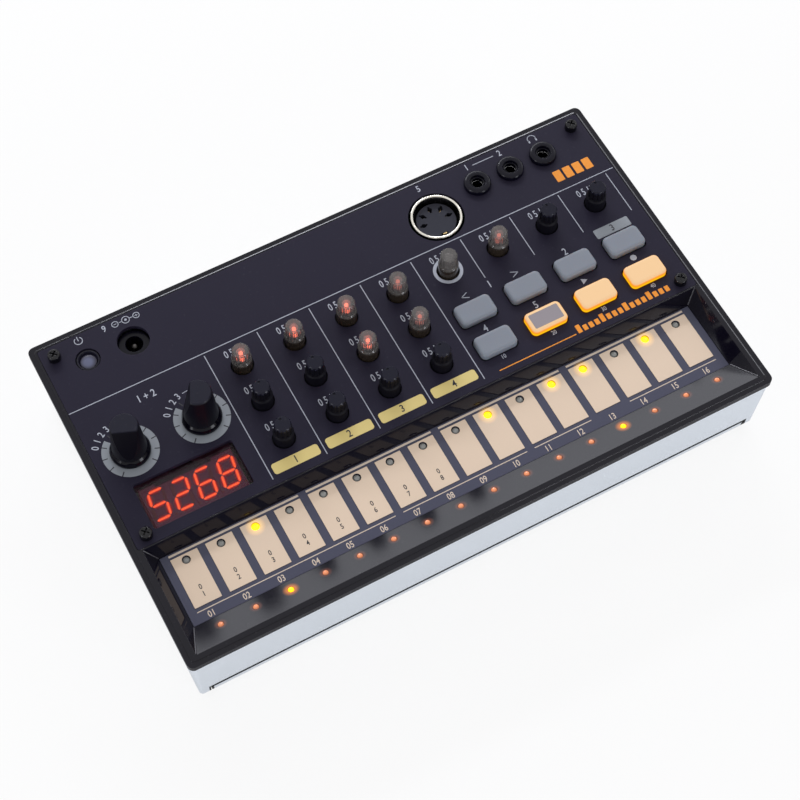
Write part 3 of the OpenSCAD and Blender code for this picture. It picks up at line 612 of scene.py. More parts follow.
def build_dome_tree():
    """A light body at every point: a short cylinder under a round dome."""
    tree, given, out = new_grower("light_domes", {"Radius": ("Float", 0.001),
                                                  "Height": ("Float", 0.002)})
    stem = add(tree, "GeometryNodeMeshCylinder",
               {"Vertices": DOME_SIDES, "Radius": given["Radius"], "Depth": given["Height"]})
    ball = add(tree, "GeometryNodeMeshUVSphere",
               {"Segments": DOME_SIDES, "Rings": DOME_SIDES // 2, "Radius": given["Radius"]})
    down = axis_vector(tree, Z=math_node(tree, "MULTIPLY", given["Height"], -0.5))
    lowered = add(tree, "GeometryNodeTransform", {"Geometry": stem.outputs["Mesh"],
                                                  "Translation": down})
    dome = add(tree, "GeometryNodeTransform", {"Geometry": ball.outputs["Mesh"],
                                               "Scale": (1, 1, DOME_FLATNESS)})
    union = add(tree, "GeometryNodeMeshBoolean", {"Mesh 2": lowered.outputs[0]},
                operation="UNION")
    tree.links.new(dome.outputs[0], union.inputs["Mesh 2"])
    return finish_tree(tree, union.outputs["Mesh"], given, out)


def build_tick_tree():
    """Short strokes on an arc round every point, as on a dial's scale."""
    tree, given, out = new_grower(
        "scale_ticks", {"Count": ("Int", 11), "Inner": ("Float", 0.006), "Outer": ("Float", 0.009),
                        "Width": ("Float", 0.0002), "Thick": ("Float", 0.00003),
                        "Sweep": ("Float", 4.8869)})
    line = add(tree, "GeometryNodeMeshLine", {"Count": given["Count"], "Offset": (0, 0, 0)})
    share = math_node(tree, "DIVIDE", add(tree, "GeometryNodeInputIndex").outputs[0],
                      math_node(tree, "SUBTRACT", given["Count"], 1.0))
    centred = math_node(tree, "SUBTRACT", share, 0.5)
    length = math_node(tree, "SUBTRACT", given["Outer"], given["Inner"])
    reach = math_node(tree, "ADD", given["Outer"], given["Inner"])
    stroke = add(tree, "GeometryNodeMeshCube",
                 {"Size": axis_vector(tree, X=given["Width"], Y=length, Z=given["Thick"])})
    moved = add(tree, "GeometryNodeTransform",
                {"Geometry": stroke.outputs["Mesh"],
                 "Translation": axis_vector(tree, Y=math_node(tree, "DIVIDE", reach, 2.0))})
    turn = axis_vector(tree, Z=math_node(tree, "MULTIPLY", centred, given["Sweep"]))
    fan = add(tree, "GeometryNodeInstanceOnPoints",
              {"Points": line.outputs["Mesh"], "Instance": moved.outputs[0], "Rotation": turn})
    return finish_tree(tree, fan.outputs[0], given, out)


TREES = {}


def grow(name, builder, points, inputs, material):
    """A piece that a geometry tree makes at points in millimetres, turned into a plain mesh."""
    if builder not in TREES:
        TREES[builder] = builder()
    seed = bpy.data.meshes.new(name + "_points")
    seed.from_pydata([Vector(p) * MM for p in points], [], [])
    holder = new_object(name + "_points", seed)
    modifier = holder.modifiers.new("grow", "NODES")
    modifier.node_group = TREES[builder]
    sockets = {item.name: item.identifier for item in TREES[builder].interface.items_tree
               if item.in_out == "INPUT"}
    for title, value in {**inputs, "Material": material}.items():
        modifier[sockets[title]] = value
    mesh = evaluated_mesh(holder)
    holder.modifiers.remove(modifier)
    bpy.data.objects.remove(holder)
    bpy.data.meshes.remove(seed)
    mesh.name = name
    return belong(smooth(new_object(name, mesh)), "root")


# ---------------------------------------------------------------- operators

class DressCase(bpy.types.Operator):
    """Silver lower case, battery cover, feet, cells and contacts"""
    bl_idname = "drum_machine.dress_case"
    bl_label = "Dress case"

    def execute(self, context):
        case = context.scene.drum_machine_finish.case
        # The silver's pale edge line is wear and also a painted highlight along the case's edges.
        worn = 0.8
        silver = dress(("bottom_case", "battery_cover"), "silver_paint", case, rough=0.36,
                       grain=0.00022, depth=0.12, mottle=0.04, dust=0.02, worn=worn,
                       worn_colour=srgb(236, 240, 245), Metallic=0.03, Specular_IOR_Level=0.3)
        self.mark_seam(silver, case, worn)
        dress(("front_feet", "rear_feet"), "foot_rubber", srgb(38, 38, 40), rough=0.8,
              grain=0.0003, depth=0.4)
        dress(("batteries",), "cell_sleeve", srgb(70, 74, 80), rough=0.3, Metallic=0.6)
        dress(("battery_contacts",), "nickel_spring", srgb(165, 160, 150), rough=0.4, Metallic=1.0)
        dress(("dc_jack_pin",), "dull_pin", srgb(84, 82, 80), rough=0.45, Metallic=1.0)
        return {"FINISHED"}

    def mark_seam(self, silver, case, worn):
        """Painted shade along the seam round the battery cover: the faces beside the gap are
        painted dark and get no pale edge line.
        """
        half_width, front_depth, sole = 0.75, 3.6, 2.0
        cover_end = lows_and_highs("battery_cover")[1].y + 0.5
        tree = silver.node_tree
        x, y, z = object_axes(tree)
        beside = math_node(tree, "SUBTRACT", math_node(tree, "ABSOLUTE", x, 0), DOOR_SEAM_X * MM)
        above = math_node(tree, "SUBTRACT", z, DOOR_SEAM_Z * MM)
        away = math_node(tree, "ABSOLUTE", math_node(tree, "MAXIMUM", beside, above), 0)
        near = math_node(tree, "LESS_THAN", away, half_width * MM)
        in_front = math_node(tree, "LESS_THAN", y, (RIM_LOW.y + front_depth) * MM)
        under = math_node(tree, "LESS_THAN", z, sole * MM)
        by_cover = math_node(tree, "LESS_THAN", y, cover_end * MM)
        shown = math_node(tree, "MAXIMUM", in_front, under)
        seam_shade = math_node(tree, "MULTIPLY", near, shown, by_cover)
        unshaded = math_node(tree, "SUBTRACT", 1.0, seam_shade)
        vary(silver, "Amount", math_node(tree, "MULTIPLY", unshaded, worn), "edge")
        # Painted shade: the dark colour beside the seam.
        vary(silver, "Color", mix_colour(tree, seam_shade, case, srgb(10, 12, 20)))


class DressCover(bpy.types.Operator):
    """Smoked gloss cover with its sunken key bed"""
    bl_idname = "drum_machine.dress_cover"
    bl_label = "Dress top cover"

    def execute(self, context):
        polish, hazed = 0.06, 0.16
        gloss = dress(("top_cover",), "smoked_gloss", context.scene.drum_machine_finish.cover,
                      rough=polish, grain=0.0012, depth=0.01, mottle=0.03, dust=0.02, worn=0.2,
                      worn_colour=srgb(50, 48, 60), Specular_IOR_Level=0.28)
        self.glow_round_lights(gloss)
        self.haze_front_slope(gloss, polish, hazed)
        self.fill_mitres()
        return {"FINISHED"}

    def glow_round_lights(self, gloss):
        """Light that spreads in the smoked moulding round the lights of the front slope."""
        tree = gloss.node_tree
        lit, dim = (light_places(LIT_SLOPE, SLOPE_LIGHT_Y, SLOPE_HIGH.z - 0.2, shining)
                    for shining in (True, False))
        faint = mix_colour(tree, near_mask(tree, dim, 0.7, 2.2), NO_LIGHT, srgb(112, 60, 40))
        glow(gloss, mix_colour(tree, near_mask(tree, lit, 0.8, 2.8), faint, srgb(235, 130, 10)),
             0.8)

    def haze_front_slope(self, gloss, polish, hazed):
        """Less polish on the front slope of the key bed, where hands rest."""
        tree = gloss.node_tree
        _, y, z = object_axes(tree)
        on_slope = math_node(
            tree, "MULTIPLY", math_node(tree, "LESS_THAN", z, (PANEL_Z - 0.1) * MM),
            math_node(tree, "GREATER_THAN", y, (BED_LOW.y - BED_FRONT_RUN) * MM),
            math_node(tree, "LESS_THAN", y, (BED_LOW.y + 0.2) * MM))
        haze = math_node(tree, "MULTIPLY", on_slope, hazed - polish)
        vary(gloss, "Roughness", math_node(tree, "ADD", haze, polish))

    def fill_mitres(self):
        """The rounded moulding in the four mitres of the key bed."""
        inset, radius = 0.1, 0.28
        shape = bmesh.new()
        for side, foot_x in ((-1, BED_LOW.x - inset), (1, BED_HIGH.x + inset)):
            for foot_y, run in ((BED_LOW.y - inset, -BED_FRONT_RUN),
                                (BED_HIGH.y + inset, BED_BACK_RUN)):
                foot = Vector((foot_x, foot_y, BED_Z))
                top = Vector((foot_x + side * BED_END_RUN, foot_y + run, PANEL_Z))
                rod(shape, foot.lerp(top, 0.03), foot.lerp(top, 0.97), radius)
        gloss = finish("mitre_gloss", srgb(40, 38, 48), rough=0.12, depth=0.02)
        smooth(new_piece("bed_mitres", shape, gloss), 60)


class DressPanel(bpy.types.Operator):
    """Matt control panel"""
    bl_idname = "drum_machine.dress_panel"
    bl_label = "Dress control panel"

    def execute(self, context):
        dress(("top_panel",), "matt_panel", context.scene.drum_machine_finish.panel, rough=0.55,
              grain=0.00016, depth=0.2, mottle=0.1, dust=0.02, worn=0.5,
              worn_colour=srgb(70, 68, 80), Specular_IOR_Level=0.13)
        return {"FINISHED"}


class PrintPanel(bpy.types.Operator):
    """Lines, scales, signs and numbers on the control panel"""
    bl_idname = "drum_machine.print_panel"
    bl_label = "Print control panel"

    def execute(self, context):
        ink = context.scene.drum_machine_print
        tall = ink.numeral / MM
        shape = bmesh.new()
        self.divide(shape, ink.line / MM)
        self.mark_sockets(shape, tall * 0.9)
        self.mark_buttons(shape, tall)
        self.mark_knobs(shape, tall)
        new_piece("panel_print", shape, ink_finish("grey_ink", ink.grey, 0.55, 0.06))
        self.ring_dials(ink)
        self.lay_plates(ink)
        self.lay_orange(ink)
        return {"FINISHED"}

    def divide(self, shape, line):
        """Section lines between the columns and under the sockets."""
        cross, margin, gap = BACK_ROW + 9.05, 0.2, 0.9
        front, short_front = PANEL_LOW.y + 1.9, BACK_ROW - 7.65
        long_lines, lines = 5, 9
        stamp(shape, box_outline(PANEL_LOW.x + margin, cross - line / 2,
                                 PANEL_HIGH.x - margin, cross + line / 2))
        for i in range(lines):
            x = COLUMN[0] + (i - 0.5) * PITCH
            start = front if i < long_lines else short_front
            stamp(shape, box_outline(x - line / 2, start, x + line / 2, cross - gap))

    def mark_sockets(self, shape, tall):
        """Power sign, polarity sign, headphone sign and socket numbers."""
        power_up, polarity_up, round_up, jack_up = 7.2, 7.7, 11.9, 7.1
        x, y = middle("power_button")
        y += power_up
        stamp(shape, arc_outline(x, y, 1.1, 1.38, 122, 418, 40),
              box_outline(x - 0.14, y - 0.1, x + 0.14, y + 1.55))
        x, y = middle("dc_jack")
        y += polarity_up
        numeral(shape, "9", x - 6.2, y, tall)
        minus, contact, plus = x - 2.6, x + 0.9, x + 4.4
        for centre, inner, link in ((minus, 0.85, True), (contact, 1.05, True),
                                    (plus, 0.85, False)):
            ring_band(shape, centre, y, inner, inner + 0.25, steps=32)
            if link:
                stamp(shape, bar_outline(centre + 1.8, y, 1.0, 0.24))
        stamp(shape, disc_outline(contact, y, 0.4, 20), bar_outline(minus, y, 1.0, 0.2),
              bar_outline(plus, y, 1.0, 0.2), bar_outline(plus, y + 0.32, 0.2, 0.36),
              bar_outline(plus, y - 0.32, 0.2, 0.36))
        x, y = middle("din_socket_shell")
        numeral(shape, "5", x, y + round_up, tall)
        (first, y), (second, _), (third, _) = jack_places()
        y += jack_up
        numeral(shape, "1", first, y, tall)
        stamp(shape, box_outline(first + 2.2, y - 0.14, second - 2.2, y + 0.14))
        numeral(shape, "2", second, y, tall)
        cup = 1.25
        stamp(shape, arc_outline(third, y, cup, cup + 0.25, -20, 200, 30),
              *(rounded_outline(third + side * cup, y - 0.75, 0.55, 1.1, 0.25, 4)
                for side in (-1, 1)))

    def mark_buttons(self, shape, tall):
        """Arrows, play and record signs, and numbers by the buttons."""
        places = [middle(name) for name in BUTTONS]
        arrow_up, number_up, sign_up, number_down = 6.5, 5.9, 6.4, 5.1
        for (x, y), side in zip(places, (1, -1)):
            for turn in (1, -1):
                stamp(shape, stroke_outline(x - side * 1.1, y + arrow_up, x + side * 1.1,
                                            y + arrow_up + turn, 0.28))
        (left, back), (right, _) = places[:2]
        numeral(shape, "1", (left + right) / 2, back + arrow_up + 0.2, tall)
        numeral(shape, "2", places[2][0], places[2][1] + number_up, tall)
        (left, back), (right, _) = (middle(name) for name in DIALS)
        numeral(shape, "1 + 2", (left + right) / 2, back + 14.3, tall)
        x, y = places[6][0], places[6][1] + sign_up
        stamp(shape, [(x - 0.9, y - 1.05), (x + 1.0, y), (x - 0.9, y + 1.05)],
              disc_outline(places[7][0], y, 1.05, 32))
        for figure, (x, y) in zip("45", places[4:]):
            numeral(shape, figure, x, y + number_up, tall)
        for figure, (x, y) in zip(("10", "20", "30", "40"), places[4:]):
            numeral(shape, figure, x, y - number_down, tall * 0.58)

    def mark_knobs(self, shape, tall):
        """A short run of scale figures behind each knob, and a ring round the unlit one."""
        for name in CLEAR_KNOBS + BLACK_KNOBS:
            x, y = middle(name)
            numeral(shape, "0 5 10", x - 0.4, y + 5.3, tall, narrow=0.66)
        ring_band(shape, *middle(UNLIT_KNOB), 3.62, 4.7)

    def ring_dials(self, ink):
        """Scale rings, their ticks and figures round the two dials."""
        shape, thin = bmesh.new(), bmesh.new()
        centres = [middle(name) for name in DIALS]
        half_gap, figure_turn, figure_step, figure_reach = 40, 148, 13, 10.3
        for x, y in centres:
            stamp(shape, arc_outline(x, y, 5.9, 8.55, 90 + half_gap, 450 - half_gap, 90))
            stamp(thin, arc_outline(x, y, 10.1, 10.35, 58, 100, 24))
            for k in range(4):
                turn = figure_turn - figure_step * k
                away = math.radians(turn)
                numeral(thin, str(k), x + figure_reach * math.cos(away),
                        y + figure_reach * math.sin(away), 2.3, turn=turn - 90)
        new_piece("dial_scales", shape, ink_finish("scale_ink", ink.scale, 0.55, 0.08))
        new_piece("dial_figures", thin, bpy.data.materials["grey_ink"])
        ticks = {"Count": 11, "Inner": 7.0 * MM, "Outer": 8.6 * MM, "Width": 0.34 * MM,
                 "Thick": 0.02 * MM, "Sweep": math.radians(280)}
        grow("dial_ticks", build_tick_tree, [(x, y, INK_HIGH) for x, y in centres], ticks,
             ink_finish("dark_ink", ink.dark, 0.55, dust=0.0))

    def lay_plates(self, ink):
        """Four yellow number plates, one grey plate and their dark numbers."""
        yellow, grey, dark = bmesh.new(), bmesh.new(), bmesh.new()
        y = PANEL_LOW.y + 4.65
        for k, x in enumerate(COLUMN[:4]):
            stamp(yellow, rounded_outline(x, y, 15.1, 3.7, 0.9))
            numeral(dark, str(k + 1), x, y, 2.5, INK_HIGH)
        x, y = middle("button_4")
        y += 6.65
        stamp(grey, rounded_outline(x, y, 12.3, 3.5, 0.5))
        numeral(dark, "3", x, y, 2.4, INK_HIGH)
        new_piece("number_plates", yellow, ink_finish("yellow_ink", ink.yellow))
        new_piece("function_plate", grey, bpy.data.materials["scale_ink"])
        new_piece("plate_numbers", dark, bpy.data.materials["dark_ink"])

    def lay_orange(self, ink):
        """An orange line with a row of plain beat bars, and four bars by the jacks."""
        bars, step, half_line = 16, 2.08, 0.17
        left, right = COLUMN[4] - 3.5, COLUMN[7] + 3.2
        first = right - step * (bars - 1)
        y = PANEL_LOW.y + 2.2
        shape = bmesh.new()
        stamp(shape, box_outline(left, y - half_line, first - 1.6, y + half_line))
        for k in range(bars):
            tall = 2.0 if k % 4 else 2.9
            stamp(shape, rounded_outline(first + k * step, y - half_line + tall / 2, 1.45, tall,
                                         0.2, 3))
        y = middle("phone_jacks")[1] - 9.4
        for k in range(4):
            stamp(shape, rounded_outline(COLUMN[7] - 4.8 + k * 3.5, y, 2.7, 4.2, 0.3, 4))
        new_piece("orange_print", shape, ink_finish("orange_ink", ink.orange))


class DressTouchBed(bpy.types.Operator):
    """Touch board, cream keys and the print round them"""
    bl_idname = "drum_machine.dress_touch_bed"
    bl_label = "Dress touch board"

    def execute(self, context):
        look, ink = context.scene.drum_machine_finish, context.scene.drum_machine_print
        board = dress(("touch_board",), "touch_board_print", look.board, rough=0.42,
                      grain=0.00025, depth=0.1, dust=0.04, Specular_IOR_Level=0.3)
        self.print_keys(board, look)
        low, high = BOARD_Z - 0.01, BOARD_Z + INK
        cream, dark = bmesh.new(), bmesh.new()
        behind, before = KEY_FRONT + KEY_D + 1.1, KEY_FRONT - 1.3
        for y, depth, runs in ((behind, 0.7, ((0, 3), (4, 7), (8, 11), (12, 15))),
                               (before, 0.3, ((0, 5), (6, 9), (10, 11), (13, 15)))):
            for first, last in runs:
                plate(cream, box_outline(KEY_X[first] - KEY_W / 2, y - depth / 2,
                                         KEY_X[last] + KEY_W / 2, y + depth / 2), low, high)
        for i, x in enumerate(KEY_X):
            numeral(cream, f"{i + 1:02d}", x - 0.6, before - 2.0, 2.1, low)
            if i < KEY_COUNT / 2:
                numeral(dark, "0", x, KEY_FRONT + 5.4, 1.7, BED_Z)
                numeral(dark, str(i + 1), x, KEY_FRONT + 3.0, 1.7, BED_Z)
        new_piece("bed_print", cream, ink_finish("cream_ink", ink.cream, mottle=0.04))
        new_piece("key_numbers", dark, bpy.data.materials["dark_ink"])
        return {"FINISHED"}

    def print_keys(self, board, look):
        """Cream on the key plates, dark on their edges, and light round the lit holes."""
        tree = board.node_tree
        z = object_axes(tree)["Z"]
        on_key = math_node(tree, "GREATER_THAN", z, (BED_Z - 0.02) * MM)
        on_edge = math_node(tree, "GREATER_THAN", z, (BED_Z - 0.14) * MM)
        edged = mix_colour(tree, on_edge, look.board, srgb(52, 48, 58))
        vary(board, "Color", mix_colour(tree, on_key, edged, look.key))
        near = near_mask(tree, light_places(LIT_KEYS, KEY_LIGHT_Y, BED_Z), 0.9, 3.4)
        glow(board, mix_colour(tree, near, NO_LIGHT, srgb(255, 190, 20)), 0.55)


class FitDisplay(bpy.types.Operator):
    """Four slanted digits, their dark face and the red lens"""
    bl_idname = "drum_machine.fit_display"
    bl_label = "Fit display"
    SEGMENTS = {"0": "abcdef", "1": "bc", "2": "abged", "3": "abgcd", "4": "fgbc", "5": "afgcd",
                "6": "afgedc", "7": "abc", "8": "abcdefg", "9": "abcdfg"}

    def execute(self, context):
        lights = context.scene.drum_machine_lights
        dress(("display_window",), "red_lens", srgb(44, 14, 30), rough=0.1, depth=0.01,
              mottle=0.02, dust=0.02, Alpha=0.3)
        # The display body gets a faint red glow: painted light from the digits.
        dress(("display_module",), "display_face_glow", srgb(102, 62, 90), rough=0.6,
              Emission_Color=srgb(136, 24, 40), Emission_Strength=0.16)
        (x, y), face = middle("display_module"), top_of("display_module")
        lit, dark, halo, haze = (bmesh.new() for _ in range(4))
        digits, pitch = 4, 7.4
        for k, figure in enumerate(lights.readout[:digits]):
            centre = x + (k - (digits - 1) / 2) * pitch
            for part in "abcdefg":
                if part in self.SEGMENTS[figure]:
                    self.segment(lit, part, centre, y, face - 0.2, 0.3)
                    self.segment(halo, part, centre, y, face - 0.21, 0.56)
                    self.segment(haze, part, centre, y, face - 0.215, 1.1)
                else:
                    self.segment(dark, part, centre, y, face - 0.2, 0.5)
            plate(dark, disc_outline(centre + 3.2, y - 5.0, 0.42, 20), face - 0.22, face + 0.02)
        for name, shape, light, colour, level in (
                ("digit_halo", halo, "digit_spill", srgb(232, 44, 30), 0.95),
                ("digit_haze", haze, "digit_faint_spill", srgb(150, 36, 42), 0.36),
                ("digits_lit", lit, "digit_light", lights.red, lights.digit_level)):
            new_piece(name, shape, light_finish(light, colour, level))
        new_piece("digits_dark", dark, finish("digit_dark", srgb(124, 56, 62), rough=0.4,
                                              depth=0.05))
        self.mask_edge(x, face)
        return {"FINISHED"}

    def mask_edge(self, x, face):
        """A dark stepped sheet along the back edge of the display body, seen behind the digits: a
        painted shadow.
        """
        back = lows_and_highs("display_module")[1].y - 0.02
        thin, thick, reach, step_left, step_right = 0.7, 1.7, 14.7, 9.8, 8.2
        shape = bmesh.new()
        plate(shape, [(x - reach, back), (x - reach, back - thin), (x - step_left, back - thin),
                      (x - step_left, back - thick), (x + step_right, back - thick),
                      (x + step_right, back - thin), (x + reach, back - thin), (x + reach, back)],
              face - 0.2, face + 0.03)
        new_piece("display_shadow_sheet", shape, finish("painted_shadow_black", srgb(14, 9, 18)))

    def segment(self, shape, part, x, y, base, bar):
        """One bar of a digit, with pointed ends and an eight degree slant."""
        half_w, half_h, gap, slant = 2.3, 4.6, 0.22, math.tan(math.radians(8))
        px, py = {"a": (0, half_h), "g": (0, 0), "d": (0, -half_h),
                  "f": (-half_w, half_h / 2), "b": (half_w, half_h / 2),
                  "e": (-half_w, -half_h / 2), "c": (half_w, -half_h / 2)}[part]
        level = part in "agd"
        reach = (half_w if level else half_h / 2) - gap
        points = [(-reach, 0), (-reach + bar, -bar), (reach - bar, -bar), (reach, 0),
                  (reach - bar, bar), (-reach + bar, bar)]
        if not level:
            points = [(-b, a) for a, b in points]
        plate(shape, [(x + px + a + (py + b) * slant, y + py + b) for a, b in points],
              base - 0.02, base + 0.22)


class FitLights(bpy.types.Operator):
    """Lights in the keys, in the front slope and under the clear knobs"""
    bl_idname = "drum_machine.fit_lights"
    bl_label = "Fit lights"

    def execute(self, context):
        lights = context.scene.drum_machine_lights
        yellow = light_finish("yellow_light", lights.yellow, lights.step_level)
        halo = light_finish("yellow_lens", srgb(255, 190, 10), lights.step_level * 0.8)
        clear = finish("clear_lens", srgb(150, 150, 146), rough=0.14, depth=0.02, mottle=0.3)
        dim = light_finish("dim_orange_lens", srgb(240, 150, 104), 0.3, rough=0.1)
        size, place = self.dome(1.18, 1.2), (KEY_LIGHT_Y, BED_Z - 0.85)
        grey = grow("key_lights_dark", build_dome_tree, light_places(LIT_KEYS, *place, False),
                    size, clear)
        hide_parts("step_leds")
        grow("key_lights_lit", build_dome_tree, light_places(LIT_KEYS, *place), size, yellow)
        size, place = self.dome(0.84, 5.0), (SLOPE_LIGHT_Y, SLOPE_HIGH.z - 0.45)
        low = grow("slope_lights_dim", build_dome_tree, light_places(LIT_SLOPE, *place, False),
                   size, dim)
        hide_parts("part_leds")
        grow("slope_lights_lit", build_dome_tree, light_places(LIT_SLOPE, *place), size, halo)
        self.fit_knob_lights(lights)
        return {"FINISHED"}

    def dome(self, radius, height):
        """The inputs of a light body, given in millimetres."""
        return {"Radius": radius * MM, "Height": height * MM}

    def fit_knob_lights(self, lights):
        """Cloudy light pipes up the clear knobs, with a glowing tip in all but the seventh."""
        low, high = lows_and_highs("control_leds")
        radius, tip_radius, tip = 0.95, 0.62, 2.4
        top = high.z - DOME_FLATNESS * tip_radius
        shoulder = top - tip - 0.1 - DOME_FLATNESS * radius
        stems = grow("knob_light_pipes", build_dome_tree,
                     [(*middle(name), shoulder) for name in CLEAR_KNOBS],
                     self.dome(radius, shoulder - low.z),
                     finish("cloudy_pipe", srgb(110, 96, 84), rough=0.3))
        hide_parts("control_leds")
        for title, names, level in (("bright", BRIGHT_KNOBS, 6.0), ("soft", SOFT_KNOBS, 1.8)):
            grow(f"knob_lights_{title}", build_dome_tree,
                 [(*middle(name), top) for name in names], self.dome(tip_radius, tip + 1.2),
                 light_finish(f"knob_light_{title}", lights.knob, level))


class DressControls(bpy.types.Operator):
    """Black knobs, clear knobs and the two dials"""
    bl_idname = "drum_machine.dress_controls"
    bl_label = "Dress knobs and dials"

    def execute(self, context):
        look = context.scene.drum_machine_finish
        rubbed = {"grain": 0.0002, "dust": 0.02, "worn": 0.3, "worn_colour": srgb(44, 44, 54)}
        black = dress(BLACK_KNOBS, "soft_black", look.knob, rough=0.3, depth=0.12, mottle=0.1,
                      Specular_IOR_Level=0.15, **rubbed)
        cap = top_of("black_knob_1")
        gloss_by_height(black, cap - 1.4, cap - 1.0, 0.6, 0.24)
        # Painted sheen: the knobs' heads are coloured lighter than their dark sides.
        colour_by_height(black, cap - 1.2, cap - 0.9, look.knob, look.head)
        clear = dress(CLEAR_KNOBS, "cloudy_moulding", look.clear, rough=0.12, grain=0.0006,
                      depth=0.03, mottle=0.08, dust=0.01, Transmission_Weight=0.72, IOR=1.3)
        self.light_from_inside(clear, look.clear)
        dial = dress(DIALS, "dial_black", look.knob, rough=0.4, depth=0.06, mottle=0.06,
                     Specular_IOR_Level=0.16, **rubbed)
        cap = top_of("left_dial")
        gloss_by_height(dial, PANEL_Z + 2.6, PANEL_Z + 3.4, 0.13, 0.42)
        # Painted sheen: the dials' tops are coloured lighter than their dark sides.
        colour_by_height(dial, cap - 0.5, cap - 0.2, look.knob, look.head)
        dress(("left_dial_shaft", "right_dial_shaft", "large_pots", "case_screws",
               "board_screws", "speaker_frame"), "zinc_plate", srgb(176, 176, 174), rough=0.35,
              Metallic=1.0)
        return {"FINISHED"}

    def light_from_inside(self, clear, head):
        """Clear knobs: grey heads with the glow of the light pipes, darker brown feet."""
        tree = clear.node_tree
        cap = top_of("clear_knob_1")
        light = NO_LIGHT
        for names, colour in ((BRIGHT_KNOBS, srgb(96, 40, 32)), (SOFT_KNOBS, srgb(60, 32, 30))):
            points = [(*middle(name), cap - 2.0) for name in names]
            light = mix_colour(tree, near_mask(tree, points, 0.8, 3.0), light, colour)
        glow(clear, light, 1.0)
        colour_by_height(clear, cap - 6.2, cap - 4.2, srgb(92, 80, 68), head, "SMOOTHSTEP")


class DressButtons(bpy.types.Operator):
    """Grey and lit silicone buttons and the power button"""
    bl_idname = "drum_machine.dress_buttons"
    bl_label = "Dress buttons"

    def execute(self, context):
        look = context.scene.drum_machine_finish
        grey = dress(GREY_BUTTONS, "grey_silicone", look.button, rough=0.55, grain=0.0003,
                     depth=0.12, mottle=0.04, dust=0.05, Subsurface_Weight=0.1)
        # Below the panel's face the grey buttons are painted near black: painted shade in the gap
        # round them.
        colour_by_height(grey, PANEL_Z - 0.3, PANEL_Z, srgb(12, 11, 18), look.button)
        self.light_buttons()
        dress(("power_button",), "power_cap", srgb(20, 19, 34), rough=0.25, grain=0.0003,
              depth=0.05, Specular_IOR_Level=0.25)
        self.inlay()
        self.power_lens()
        return {"FINISHED"}

    def light_buttons(self):
        """Peach on top, brighter yellow towards the foot, where the light comes in."""
        peach = srgb(176, 148, 118)
        lit = dress(LIT_BUTTONS, "lit_silicone", peach, grain=0.0003, depth=0.1, mottle=0.03,
                    dust=0.02, Specular_IOR_Level=0.3)
        tree = lit.node_tree
        top, foot, gap = (height_share(tree, PANEL_Z + low, PANEL_Z + high)
                          for low, high in ((1.3, 2.1), (0.3, 1.4), (-0.35, -0.05)))
        side = mix_colour(tree, foot, srgb(255, 196, 8), srgb(250, 150, 40))
        cap = mix_colour(tree, top, side, srgb(200, 164, 116))
        glow(lit, mix_colour(tree, gap, srgb(70, 20, 6), cap), 0.9)
        # Below the panel's face the lit buttons are painted near black: painted shade in the gap,
        # with a faint glow over it.
        skirt = mix_colour(tree, gap, srgb(12, 9, 10), srgb(150, 90, 10))
        vary(lit, "Color", mix_colour(tree, top, skirt, peach))

    def inlay(self):
        """The grey rectangle printed on one lit button."""
        shape, top = bmesh.new(), top_of("button_6")
        plate(shape, rounded_outline(*middle("button_6"), 9.9, 5.1, 0.4), top - 0.04, top + 0.01)
        grey = finish("grey_inlay", srgb(148, 140, 145), grain=0.0003, depth=0.1)
        new_piece("button_6_inlay", shape, grey, body="button_6")

    def power_lens(self):
        """The pale round lens in the power button, painted lighter a little left of and in front
        of its middle and darker towards its rim: a painted highlight and painted shade.
        """
        (x, y), top = middle("power_button"), top_of("power_button")
        shape = bmesh.new()
        lathe(shape, x, y, [(radius, top - down) for radius, down in (
            (0, 1.02), (2.5, 1.02), (2.5, 0.8), (2.2, 0.68), (1.2, 0.6), (0, 0.58))])
        lens = finish("power_lens", srgb(86, 90, 116), rough=0.22, depth=0.03)
        tree = lens.node_tree
        painted_lens_sheen = near_mask(tree, [(x - 0.3, y - 0.3, top - 0.6)], 0.9, 2.6)
        vary(lens, "Color", mix_colour(tree, painted_lens_sheen, srgb(44, 42, 62), srgb(96, 100, 128)))
        smooth(new_piece("power_button_lens", shape, lens, body="power_button"))


